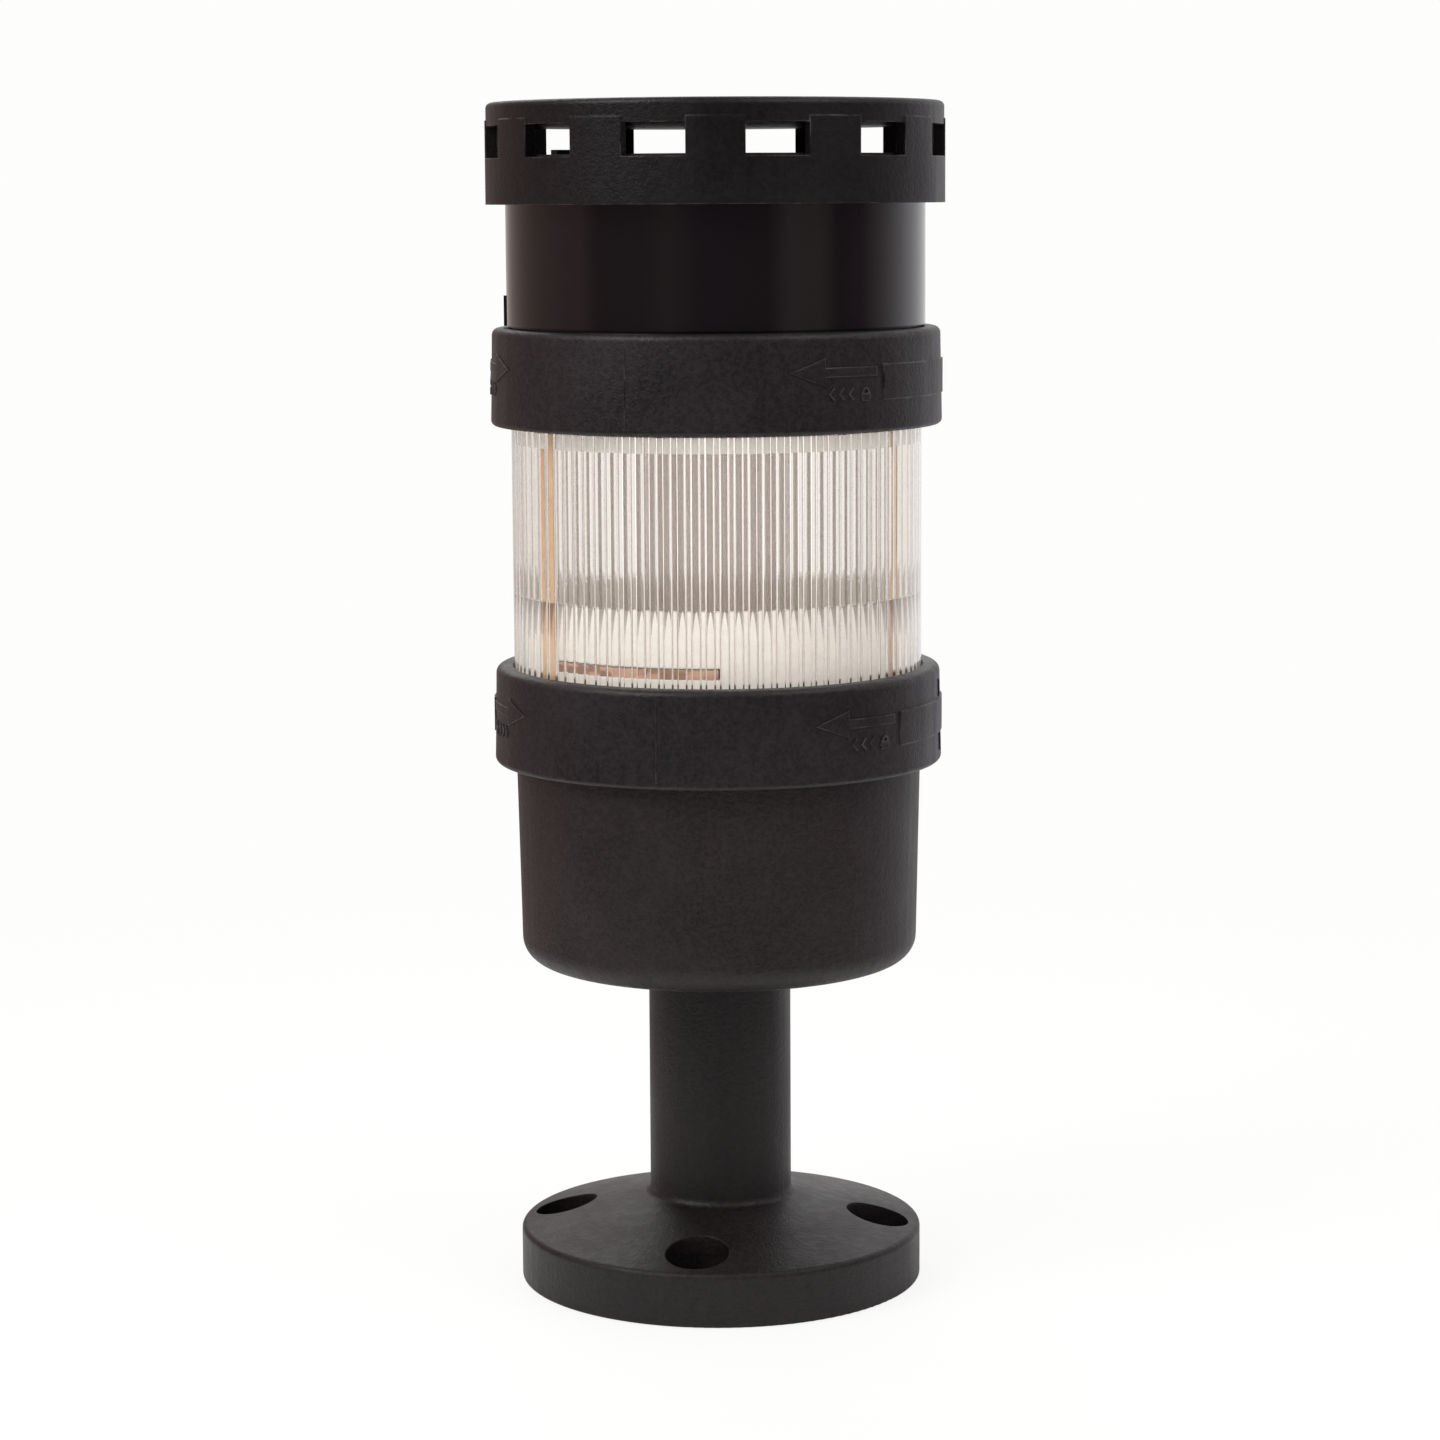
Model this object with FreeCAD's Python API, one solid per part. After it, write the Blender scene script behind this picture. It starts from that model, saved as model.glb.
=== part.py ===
import FreeCAD, Part
import math
import os

# Modular signal tower, 70 mm system: a foot with its tube, a terminal housing, a light module and
# a sounder module. Each module stands on a collar of the one below it and is held by a turning
# bayonet ring. Sizes are in millimetres. The origin is the centre of the foot's underside, +Z is up.

# ---------------------------------------------------------------- driving sizes: common values
RUN_GAP = 0.3            # play between a locking ring and everything that stands still
FIT_GAP = 0.05           # play of a piece that is pressed or screwed home
FRONT_DEG = -81.5        # direction that the tower's marked side faces; the bolts stand at 0, 90, ...

# ---------------------------------------------------------------- driving sizes: foot
FOOT_RIM_H = 9.3
FOOT_RIM_ROUND = 1.0
FOOT_SOLE_ROUND = 0.5
FOOT_CONE_DEG = 14.2
FOOT_WALL = 3.2
FOOT_CORE_DEPTH = 5.0    # depth to which the underside is cored out
FOOT_RIB_T = 2.0
FOOT_RIBS = 8
TUBE_R = 12.5
TUBE_WALL = 2.0
TUBE_LEN = 82.0          # from the sole to the tube's top end
TUBE_ROOT_ROUND = 1.3
BOLT_PCD = 56.0
BOLT_COUNT = 4
BOLT_HOLE_R = 2.75
BOLT_HEAD_R = 5.5
BOLT_SEAT_Z = 4.3        # height of the counterbore's floor
BOLT_EDGE = 1.9          # from a counterbore to the foot's edge
BOLT_BOSS_WALL = 2.2
SOLE_SEAL_W = 1.4
SOLE_SEAL_T = 1.0

# ---------------------------------------------------------------- driving sizes: terminal housing
HOUSING_STEP = 0.4       # from the collar out to the housing's shoulder
HOUSING_DRAFT = 0.75     # from the shoulder's radius to the one at the underside
HOUSING_H = 35.2
HOUSING_EDGE_ROUND = 4.4
HOUSING_WALL = 2.2
HOUSING_FLOOR_T = 2.6
SOCKET_DEPTH = 24.8      # length of tube that stands inside the housing
SOCKET_WALL = 3.0
SOCKET_LIP_T = 2.0
TUBE_SEAL_T = 1.55
TUBE_SEAL_H = 2.4
TUBE_SEAL_UP = 3.2       # from the housing's underside to the seal
CLAMP_SCREW_R = 2.0
CLAMP_SCREW_LEN = 6.5
CLAMP_SCREW_UP = 14.0
CLAMP_SCREW_COUNT = 2
CLAMP_BOSS_R = 4.2
CARRIER_DROP = 5.0       # from the housing's shoulder down to the carrier's seat
CARRIER_T = 2.4
CARRIER_HOLE_R = 8.5
TERMINAL_L = 26.0
TERMINAL_W = 9.0
TERMINAL_H = 8.0
TERMINAL_OFF = 14.5      # from the axis to the middle of each terminal block
TERMINAL_POLES = 3
TERMINAL_PITCH = 8.0
TERMINAL_SCREW_R = 1.9
TERMINAL_WIRE_R = 1.5

# ---------------------------------------------------------------- driving sizes: bayonet joint
NECK_R = 35.5            # radius of what passes up through a locking ring: the 71 mm lens
COLLAR_STEP = 0.6        # from that radius in to a collar
COLLAR_WALL = 2.2
COLLAR_H = 9.0
SEAL_T = 1.0
SEAL_W = 1.7
FLANGE_T = 3.9
LUG_REACH = 1.7          # from a collar out to its lugs and to the flange above them
RING_DRAFT = 0.35
RING_WALL = 2.1
RING_LIP_T = 2.8
RING_TOP_ROUND = 1.2
RING_LOW_ROUND = 0.9
LUG_COUNT = 4
LUG_DEG = 17.0
LUG_H = 2.8
RING_LUG_UP = 0.9        # from the ring's lower edge to its lugs
OPEN_DEG = 20.0          # turn of a ring from locked to open
STOP_DEG = 2.5
STOP_GAP_DEG = 0.5
PAD_DEG = 42.6
PAD_H = 5.8
PAD_PROUD = 0.26
LOWER_PAD_DEG = 73.4     # from the front to the middle of the lower ring's grip pad
UPPER_PAD_DEG = 66.7

# ---------------------------------------------------------------- driving sizes: light module
LENS_LEN = 44.6          # from the lens's seat to its shoulder
LENS_WALL = 1.9
LENS_RIBS = 92
LENS_RIB_H = 0.6
LENS_LAND_SHARE = 0.28   # share of each pitch that stays flat between two ribs
SKIRT_WALL = 1.9
SKIRT_H = 15.5           # above the lens's seat
SEAT_RIM_H = 1.7
CHASSIS_FLOOR_T = 2.4
BOARD_T = 1.6
LED_BOARD_UP = 4.2       # from the lens's seat to the board's underside
LED_BOARD_LEDGE = 2.2    # width of the ledge that carries the board
BOARD_EDGE_DEG = 55.0    # stretch of board edge that shows through the skirt, left of the front
SLEEVE_GAP = 10.9        # from the board's screw heads in to the diffuser
SLEEVE_WALL = 1.5
LED_COUNT = 8
LED_INSET = 2.5          # from the diffuser's bore in to the middle of a lamp chip
LED_SIZE = 3.0
LED_H = 1.2
COVER_T = 2.2
COVER_SKIRT_H = 2.7
COVER_SKIRT_WALL = 2.3
STRIP_T = 0.5
STRIP_W = 1.6
STRIP_FOOT_L = 6.0
STRIP_DEGS = (-58.8, 65.8, 183.5)    # from the front; unequal, so a module fits one way only
SPRING_T = 0.4
SPRING_FOOT_L = 7.5

# ---------------------------------------------------------------- driving sizes: sounder module
SOUNDER_STEP = 0.6       # from the neck out to the smooth cylinder
SOUNDER_WALL = 2.2       # at the neck, the thinnest place
SOUNDER_H = 20.7         # height of the smooth cylinder between ring and cap
SOUNDER_TOP_IN = 5.5     # how far the body stands up inside the cap
SOUNDER_FLOOR_T = 2.6
SPIGOT_H = 3.7
SPIGOT_WALL = 2.0
MARK_DEG = -90.0         # raised index mark on the sounder, from the front
MARK_W = 2.2
MARK_H = 5.2
MARK_PROUD = 0.45
DECK_T = 2.7
DECK_RIM_T = 1.0
DECK_HOLE_R = 2.0
DECK_HOLES = 8
DECK_HOLE_CIRCLE_R = 12.0
DECK_KEY_DEG = -50.0
DECK_KEY_W = 1.6
DECK_KEY_H = 0.8
CAP_WALL = 2.25
CAP_LID_INSET = 0.2
CAP_BAND_H = 7.8
CAP_WINDOW_H = 5.4
CAP_LID_T = 4.0
CAP_LID_ROUND = 1.0
CAP_LIP_H = 2.0
CAP_POSTS = 12
CAP_POST_DEG = 14.2
CAP_POST_T = 2.0
HORN_R = 21.0
HORN_WALL = 1.6
HORN_H = 11.0
HORN_LEDGE_T = 1.4
HORN_LEDGE_W = 3.2
PIEZO_T = 0.6
SOUND_BOARD_UP = 9.0     # from the sounder base's floor to its board
PILLAR_R = 2.8
PILLAR_INSET = 11.8      # from the sounder's bore in to the board's pillars
PIN_R = 0.8
PIN_HEAD_R = 2.0
PIN_HEAD_T = 0.5
PIN_INSET = 0.2          # from the inner end of a contact spring to the pin on it
CHIP_L = 10.0
CHIP_W = 4.0
CHIP_H = 1.8
COIL_L = 9.0
COIL_W = 8.0
COIL_H = 6.5
CAPACITOR_R = 2.5
CAPACITOR_H = 6.0
PART_GAP = 3.0           # room between the parts on the sounder's board

# ---------------------------------------------------------------- driving sizes: screws
SCREW_R = 1.5
SCREW_HEAD_R = 2.8
SCREW_HEAD_H = 1.9
SCREW_LEN = 8.0
SCREW_COUNT = 3
SCREW_DEG = 3.5          # from the front to the first screw of each set
SCREW_PILOT_R = 1.55
SCREW_HOLE_R = 1.75
BOSS_R = 3.3
CROSS_W = 0.7
CROSS_L = 3.0
CROSS_D = 1.0

# ---------------------------------------------------------------- heights worked out from the sizes
HOUSING_Z = TUBE_LEN - SOCKET_DEPTH
HOUSING_SHOULDER_Z = HOUSING_Z + HOUSING_H
CARRIER_Z = HOUSING_SHOULDER_Z - CARRIER_DROP
CARRIER_TOP_Z = CARRIER_Z + CARRIER_T


def flange_z(shoulder_z):
    """Underside of the module that stands on the collar above this shoulder."""
    return shoulder_z + COLLAR_H + SEAL_T


def ring_top_z(shoulder_z):
    """Upper face of the locking ring above this shoulder."""
    return flange_z(shoulder_z) + FLANGE_T + RUN_GAP + RING_LIP_T


CHASSIS_Z = flange_z(HOUSING_SHOULDER_Z)
LENS_SEAT_Z = CHASSIS_Z + FLANGE_T
LENS_SHOULDER_Z = LENS_SEAT_Z + LENS_LEN
LED_BOARD_Z = LENS_SEAT_Z + LED_BOARD_UP
LED_BOARD_TOP_Z = LED_BOARD_Z + BOARD_T
COVER_Z = LENS_SHOULDER_Z - 2 * FIT_GAP
COVER_TOP_Z = COVER_Z + COVER_T
BASE_Z = flange_z(LENS_SHOULDER_Z)
SOUNDER_SEAT_Z = BASE_Z + FLANGE_T
SPIGOT_TOP_Z = SOUNDER_SEAT_Z + SPIGOT_H
SOUNDER_SHOULDER_Z = ring_top_z(LENS_SHOULDER_Z) + RUN_GAP
CAP_Z = SOUNDER_SHOULDER_Z + SOUNDER_H
SILL_Z = CAP_Z + CAP_BAND_H
LID_Z = SILL_Z + CAP_WINDOW_H
DECK_Z = CAP_Z + SOUNDER_TOP_IN
SOUND_BOARD_Z = BASE_Z + SOUNDER_FLOOR_T + SOUND_BOARD_UP
SOUND_BOARD_TOP_Z = SOUND_BOARD_Z + BOARD_T
HORN_Z = DECK_Z - HORN_H

# ---------------------------------------------------------------- radii worked out from the sizes
COLLAR_R = NECK_R - COLLAR_STEP
COLLAR_IN_R = COLLAR_R - COLLAR_WALL
FLANGE_R = COLLAR_R + LUG_REACH
RING_IN_R = FLANGE_R + RUN_GAP
RING_LOW_R = RING_IN_R + RING_WALL
RING_TOP_R = RING_LOW_R - RING_DRAFT
RING_LIP_R = NECK_R + RUN_GAP
HOUSING_TOP_R = COLLAR_R + HOUSING_STEP
HOUSING_LOW_R = HOUSING_TOP_R - HOUSING_DRAFT
SOCKET_R = TUBE_R + FIT_GAP
SOCKET_OUT_R = SOCKET_R + SOCKET_WALL
TUBE_BORE_R = TUBE_R - TUBE_WALL
BOLT_R = BOLT_PCD / 2
FOOT_R = BOLT_R + BOLT_HEAD_R + BOLT_EDGE
LENS_IN_R = NECK_R - LENS_WALL
STRIP_OUT_R = COLLAR_IN_R - RUN_GAP
STRIP_R = STRIP_OUT_R - STRIP_T
SKIRT_R = STRIP_R + RUN_GAP
LED_SCREW_R = SKIRT_R - SKIRT_WALL - LED_BOARD_LEDGE - PILLAR_R / 2
SLEEVE_R = LED_SCREW_R - SCREW_HEAD_R - SLEEVE_GAP
LED_CIRCLE_R = SLEEVE_R - SLEEVE_WALL - LED_INSET
RESISTOR_R = SLEEVE_R + LED_SIZE
SOUNDER_R = NECK_R + SOUNDER_STEP
SOUNDER_IN_R = NECK_R - SOUNDER_WALL
DECK_RIM_R = SOUNDER_R + FIT_GAP + DECK_RIM_T
CAP_ROOM_R = DECK_RIM_R + FIT_GAP
CAP_R = CAP_ROOM_R + CAP_WALL
SCREW_CIRCLE_R = COLLAR_IN_R - BOSS_R
SPRING_OUT_R = STRIP_R - SPRING_T
SPRING_IN_R = SPRING_OUT_R - SPRING_FOOT_L
PIN_CIRCLE_R = SPRING_IN_R - PIN_INSET
PILLAR_CIRCLE_R = SOUNDER_IN_R - PILLAR_INSET
SCREW_DEGS = [FRONT_DEG + SCREW_DEG + 360.0 * i / SCREW_COUNT for i in range(SCREW_COUNT)]
CONTACT_DEGS = [FRONT_DEG + deg for deg in STRIP_DEGS]

AXIS = FreeCAD.Vector(0, 0, 1)
CENTRE = FreeCAD.Vector(0, 0, 0)


# ---------------------------------------------------------------- helpers
def turned(points):
    """Solid of revolution about Z from a closed outline of (radius, height) points."""
    corners = [FreeCAD.Vector(r, 0, z) for r, z in points]
    face = Part.Face(Part.makePolygon(corners + corners[:1]))
    return face.revolve(CENTRE, AXIS, 360)


def disc(r, z0, z1):
    """Upright cylinder about the axis."""
    return Part.makeCylinder(r, z1 - z0, FreeCAD.Vector(0, 0, z0))


def hoop(r_in, r_out, z0, z1):
    """Upright tube about the axis."""
    return disc(r_out, z0, z1).cut(disc(r_in, z0, z1))


def sector(r_in, r_out, z0, z1, mid_deg, width_deg):
    """Piece of a hoop, centred on a direction."""
    wedge = Part.makeCylinder(r_out, z1 - z0, FreeCAD.Vector(0, 0, z0), AXIS, width_deg)
    wedge = wedge.cut(disc(r_in, z0, z1))
    wedge.rotate(CENTRE, AXIS, mid_deg - width_deg / 2)
    return wedge


def spun(shape, deg):
    """Copy of a shape turned about the axis."""
    copy = shape.copy()
    copy.rotate(CENTRE, AXIS, deg)
    return copy


def rod(r, x, z0, z1):
    """Upright cylinder at a distance from the axis along +X."""
    return Part.makeCylinder(r, z1 - z0, FreeCAD.Vector(x, 0, z0))


def block(x0, x1, width, z0, z1):
    """Box that runs along +X and is centred across it."""
    return Part.makeBox(x1 - x0, width, z1 - z0, FreeCAD.Vector(x0, -width / 2, z0))


def round_edges(shape, r, z, size):
    """Round every circular edge of one radius at one height."""
    chosen = []
    for edge in shape.Edges:
        curve = edge.Curve
        if not isinstance(curve, Part.Circle):
            continue
        if abs(curve.Radius - r) < 0.01 and abs(curve.Center.z - z) < 0.01:
            chosen.append(edge)
    return shape.makeFillet(size, chosen)


def repeat(shape, degs):
    """Copies of a shape turned to each direction."""
    return [spun(shape, deg) for deg in degs]


def save(node, shape):
    """Write one node's solids to its own file."""
    solids = shape.Solids
    if not solids or not all(solid.isValid() for solid in solids):
        raise RuntimeError("bad solid in " + node)
    result = solids[0] if len(solids) == 1 else Part.makeCompound(solids)
    result.exportStep("parts/" + node + ".step")


# ---------------------------------------------------------------- foot
def mounting_foot():
    """Round foot and tube, moulded in one piece."""
    cone_top_z = FOOT_RIM_H + (FOOT_R - TUBE_R) * math.tan(math.radians(FOOT_CONE_DEG))
    foot = turned([(0, 0), (FOOT_R, 0), (FOOT_R, FOOT_RIM_H), (TUBE_R, cone_top_z),
                   (TUBE_R, TUBE_LEN), (0, TUBE_LEN)])
    foot = round_edges(foot, FOOT_R, FOOT_RIM_H, FOOT_RIM_ROUND)
    foot = round_edges(foot, FOOT_R, 0, FOOT_SOLE_ROUND)
    foot = round_edges(foot, TUBE_R, cone_top_z, TUBE_ROOT_ROUND)
    foot = foot.cut(disc(TUBE_BORE_R, 0, TUBE_LEN))
    # the underside is cored out between the rim, the hub, the bolt bosses and the ribs
    hub_r = TUBE_R + TUBE_WALL
    core = hoop(hub_r, FOOT_R - FOOT_WALL, 0, FOOT_CORE_DEPTH)
    bolt_degs = [360.0 * i / BOLT_COUNT for i in range(BOLT_COUNT)]
    bosses = repeat(rod(BOLT_HEAD_R + BOLT_BOSS_WALL, BOLT_R, 0, FOOT_CORE_DEPTH), bolt_degs)
    rib_degs = [360.0 * i / FOOT_RIBS for i in range(FOOT_RIBS)]
    ribs = repeat(block(TUBE_R, FOOT_R, FOOT_RIB_T, 0, FOOT_CORE_DEPTH), rib_degs)
    foot = foot.cut(core.cut(bosses + ribs))
    foot = foot.cut(repeat(rod(BOLT_HOLE_R, BOLT_R, 0, BOLT_SEAT_Z), bolt_degs))
    foot = foot.cut(repeat(rod(BOLT_HEAD_R, BOLT_R, BOLT_SEAT_Z, cone_top_z), bolt_degs))
    mid_r = FOOT_R - FOOT_WALL / 2
    return foot.cut(hoop(mid_r - SOLE_SEAL_W / 2, mid_r + SOLE_SEAL_W / 2, 0, SOLE_SEAL_T))


def foot_seal():
    """Flat sealing ring let into the foot's rim, flush with the sole."""
    mid_r = FOOT_R - FOOT_WALL / 2
    half = SOLE_SEAL_W / 2 - FIT_GAP
    return hoop(mid_r - half, mid_r + half, 0, SOLE_SEAL_T)


# ---------------------------------------------------------------- screws
def pan_screw(x, seat_z, length):
    """Cross-head screw pointing down, its head resting at seat_z."""
    screw = rod(SCREW_HEAD_R, x, seat_z, seat_z + SCREW_HEAD_H)
    screw = round_edges_at(screw, seat_z + SCREW_HEAD_H, SCREW_HEAD_H / 3)
    screw = screw.fuse(rod(SCREW_R, x, seat_z - length, seat_z))
    cross_z = seat_z + SCREW_HEAD_H - CROSS_D
    for along, across in ((CROSS_L, CROSS_W), (CROSS_W, CROSS_L)):
        slot = Part.makeBox(along, across, CROSS_D, FreeCAD.Vector(x - along / 2, -across / 2, cross_z))
        screw = screw.cut(slot)
    return screw


def round_edges_at(shape, z, size):
    """Round the circular edges at one height."""
    chosen = [edge for edge in shape.Edges
              if isinstance(edge.Curve, Part.Circle) and abs(edge.Curve.Center.z - z) < 0.01]
    return shape.makeFillet(size, chosen)


def screw_set(circle_r, seat_z, length, upward=False):
    """Screws on a circle, heads up or, for upward ones, heads down."""
    screw = pan_screw(circle_r, seat_z, length)
    if upward:
        screw = screw.mirror(FreeCAD.Vector(0, 0, seat_z), AXIS)
    return Part.makeCompound(repeat(screw, SCREW_DEGS))


# ---------------------------------------------------------------- bayonet joint
def lug_degs():
    """Directions of the lugs of a locked joint."""
    return [FRONT_DEG + 45.0 + 360.0 * i / LUG_COUNT for i in range(LUG_COUNT)]


def bayonet_collar(shoulder_z):
    """Collar with outward lugs and turn stops, as pieces to fuse to what carries it."""
    pieces = [hoop(COLLAR_IN_R, COLLAR_R, shoulder_z, shoulder_z + COLLAR_H)]
    low_z = shoulder_z
    lug_z = shoulder_z + RUN_GAP + RING_LUG_UP + LUG_H + RUN_GAP
    reach_r = COLLAR_R - COLLAR_WALL / 2
    closed_stop = -LUG_DEG / 2 - STOP_GAP_DEG - STOP_DEG / 2
    open_stop = LUG_DEG / 2 + OPEN_DEG + STOP_GAP_DEG + STOP_DEG / 2
    for deg in lug_degs():
        pieces.append(sector(reach_r, FLANGE_R, lug_z, lug_z + LUG_H, deg, LUG_DEG))
        for stop in (closed_stop, open_stop):
            pieces.append(sector(reach_r, FLANGE_R, low_z, lug_z + LUG_H / 2, deg + stop, STOP_DEG))
    return pieces


def locking_ring(shoulder_z, pad_deg):
    """Bayonet ring: a lip over the upper module's flange, lugs under the collar's lugs, grip pads."""
    low_z = shoulder_z + RUN_GAP
    lip_z = flange_z(shoulder_z) + FLANGE_T + RUN_GAP
    top_z = lip_z + RING_LIP_T
    ring = turned([(RING_IN_R, low_z), (RING_LOW_R, low_z), (RING_TOP_R, top_z), (RING_LIP_R, top_z),
                   (RING_LIP_R, lip_z), (RING_IN_R, lip_z)])
    ring = round_edges(ring, RING_TOP_R, top_z, RING_TOP_ROUND)
    ring = round_edges(ring, RING_LOW_R, low_z, RING_LOW_ROUND)
    lug_z = low_z + RING_LUG_UP
    reach_r = RING_IN_R + RING_WALL / 2
    lugs = [sector(COLLAR_R + RUN_GAP, reach_r, lug_z, lug_z + LUG_H, deg, LUG_DEG) for deg in lug_degs()]
    mid_z = (low_z + top_z) / 2
    pad_r = (RING_LOW_R + RING_TOP_R) / 2 + PAD_PROUD
    pads = [sector(reach_r, pad_r, mid_z - PAD_H / 2, mid_z + PAD_H / 2, FRONT_DEG + pad_deg + side, PAD_DEG)
            for side in (0, 180)]
    return ring.fuse(lugs + pads)


def module_seal(shoulder_z):
    """Flat rubber ring between a collar and the module that stands on it."""
    mid_r = COLLAR_R - COLLAR_WALL / 2
    low_z = shoulder_z + COLLAR_H
    return hoop(mid_r - SEAL_W / 2, mid_r + SEAL_W / 2, low_z, low_z + SEAL_T)


def contact_springs(low_z, high_z):
    """Bent strips that carry the supply from one module up to the next."""
    r0 = SPRING_IN_R
    r1 = SPRING_OUT_R
    outline = [(r0, low_z), (r1, low_z), (r1, low_z + SPRING_T), (r0 + 2 * SPRING_T, low_z + SPRING_T),
               (r1, high_z - SPRING_T), (r1, high_z), (r0, high_z), (r0, high_z - SPRING_T),
               (r1 - 2 * SPRING_T, high_z - SPRING_T), (r0, low_z + SPRING_T)]
    corners = [FreeCAD.Vector(r, -STRIP_W / 2, z) for r, z in outline]
    face = Part.Face(Part.makePolygon(corners + corners[:1]))
    spring = face.extrude(FreeCAD.Vector(0, STRIP_W, 0))
    return Part.makeCompound(repeat(spring, CONTACT_DEGS))


# ---------------------------------------------------------------- terminal housing
def terminal_housing():
    """Tapered cup with the tube socket, screw bosses and the collar for the module above."""
    z0 = HOUSING_Z
    z1 = HOUSING_SHOULDER_Z
    cup = turned([(0, z0), (HOUSING_LOW_R, z0), (HOUSING_TOP_R, z1), (0, z1)])
    cup = round_edges(cup, HOUSING_LOW_R, z0, HOUSING_EDGE_ROUND)
    floor_z = z0 + HOUSING_FLOOR_T
    low_r = HOUSING_LOW_R - HOUSING_WALL
    room = turned([(0, floor_z), (low_r, floor_z), (COLLAR_IN_R, z1), (0, z1)])
    room = round_edges(room, low_r, floor_z, HOUSING_EDGE_ROUND - HOUSING_WALL)
    cup = cup.cut(room)
    socket = disc(SOCKET_OUT_R, floor_z, TUBE_LEN + SOCKET_LIP_T)
    screw_z = z0 + CLAMP_SCREW_UP
    out_x = TUBE_R + CLAMP_SCREW_LEN
    clamp_boss = Part.makeCylinder(CLAMP_BOSS_R, out_x, FreeCAD.Vector(0, 0, screw_z),
                                   FreeCAD.Vector(1, 0, 0))
    carrier_boss = rod(BOSS_R, SCREW_CIRCLE_R, floor_z - HOUSING_FLOOR_T / 2, CARRIER_Z)
    cup = cup.fuse([socket] + repeat(clamp_boss, clamp_degs()) + repeat(carrier_boss, SCREW_DEGS)
                   + bayonet_collar(z1))
    cup = cup.cut([disc(SOCKET_R, z0, TUBE_LEN), disc(TUBE_BORE_R, z0, TUBE_LEN + SOCKET_LIP_T)])
    seal_z = z0 + TUBE_SEAL_UP
    cup = cup.cut(hoop(SOCKET_R - FIT_GAP, SOCKET_R + TUBE_SEAL_T, seal_z, seal_z + TUBE_SEAL_H))
    clamp_hole = Part.makeCylinder(CLAMP_SCREW_R + FIT_GAP, out_x, FreeCAD.Vector(0, 0, screw_z),
                                   FreeCAD.Vector(1, 0, 0))
    pilot = rod(SCREW_PILOT_R, SCREW_CIRCLE_R, CARRIER_Z - SCREW_LEN, CARRIER_Z)
    return cup.cut(repeat(clamp_hole, clamp_degs()) + repeat(pilot, SCREW_DEGS))


def clamp_degs():
    """Directions of the screws that grip the tube."""
    return [SCREW_DEGS[0] + 30.0 + 360.0 * i / CLAMP_SCREW_COUNT for i in range(CLAMP_SCREW_COUNT)]


def tube_seal():
    """Rubber ring in the socket's groove, around the tube."""
    low_z = HOUSING_Z + TUBE_SEAL_UP
    return hoop(TUBE_R + FIT_GAP, SOCKET_R + TUBE_SEAL_T - FIT_GAP, low_z, low_z + TUBE_SEAL_H)


def tube_clamp_screws():
    """Socket set screws that press on the tube."""
    z = HOUSING_Z + CLAMP_SCREW_UP
    along = FreeCAD.Vector(1, 0, 0)
    start = FreeCAD.Vector(TUBE_R + FIT_GAP, 0, z)
    length = CLAMP_SCREW_LEN - FIT_GAP
    screw = Part.makeCylinder(CLAMP_SCREW_R, length, start, along)
    hexagon = []
    for i in range(7):
        turn = math.radians(60 * i)
        y = CLAMP_SCREW_R / 2 * math.cos(turn)
        hexagon.append(FreeCAD.Vector(TUBE_R + CLAMP_SCREW_LEN, y, z + CLAMP_SCREW_R / 2 * math.sin(turn)))
    socket = Part.Face(Part.makePolygon(hexagon)).extrude(FreeCAD.Vector(-length / 2, 0, 0))
    return Part.makeCompound(repeat(screw.cut(socket), clamp_degs()))


def terminal_carrier():
    """Round tray that holds the terminals and closes the housing around the wires."""
    tray = disc(COLLAR_IN_R - RUN_GAP, CARRIER_Z, CARRIER_TOP_Z)
    holes = repeat(rod(SCREW_HOLE_R, SCREW_CIRCLE_R, CARRIER_Z, CARRIER_TOP_Z), SCREW_DEGS)
    return tray.cut([disc(CARRIER_HOLE_R, CARRIER_Z, CARRIER_TOP_Z)] + holes)


def terminal_seats():
    """Middle of each terminal: block side and place along the block."""
    seats = []
    for side in (-1, 1):
        for i in range(TERMINAL_POLES):
            seats.append((side * TERMINAL_OFF, (i - (TERMINAL_POLES - 1) / 2) * TERMINAL_PITCH))
    return seats


def terminal_blocks():
    """Two rows of screw terminals with wire entries that face the middle."""
    z1 = CARRIER_TOP_Z + TERMINAL_H
    rows = []
    for side in (-1, 1):
        corner = FreeCAD.Vector(side * TERMINAL_OFF - TERMINAL_W / 2, -TERMINAL_L / 2, CARRIER_TOP_Z)
        rows.append(Part.makeBox(TERMINAL_W, TERMINAL_L, TERMINAL_H, corner))
    holes = []
    for x, y in terminal_seats():
        depth = TERMINAL_H / 2
        holes.append(Part.makeCylinder(TERMINAL_SCREW_R + FIT_GAP, depth, FreeCAD.Vector(x, y, z1 - depth)))
        inward = -math.copysign(1, x)
        start = FreeCAD.Vector(x, y, CARRIER_TOP_Z + TERMINAL_WIRE_R * 1.5)
        holes.append(Part.makeCylinder(TERMINAL_WIRE_R, TERMINAL_W / 2, start, FreeCAD.Vector(inward, 0, 0)))
    blocks = Part.makeCompound(rows).cut(Part.makeCompound(holes))
    return spun(blocks, SCREW_DEGS[0])


def terminal_screws():
    """Slotted clamping screws of the terminals."""
    z1 = CARRIER_TOP_Z + TERMINAL_H
    screws = []
    for x, y in terminal_seats():
        depth = TERMINAL_H / 2
        head = Part.makeCylinder(TERMINAL_SCREW_R, depth - CROSS_W, FreeCAD.Vector(x, y, z1 - depth))
        slot = Part.makeBox(2 * TERMINAL_SCREW_R, CROSS_W, CROSS_D,
                            FreeCAD.Vector(x - TERMINAL_SCREW_R, y - CROSS_W / 2, z1 - CROSS_W - CROSS_D))
        screws.append(head.cut(slot))
    return spun(Part.makeCompound(screws), SCREW_DEGS[0])


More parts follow.
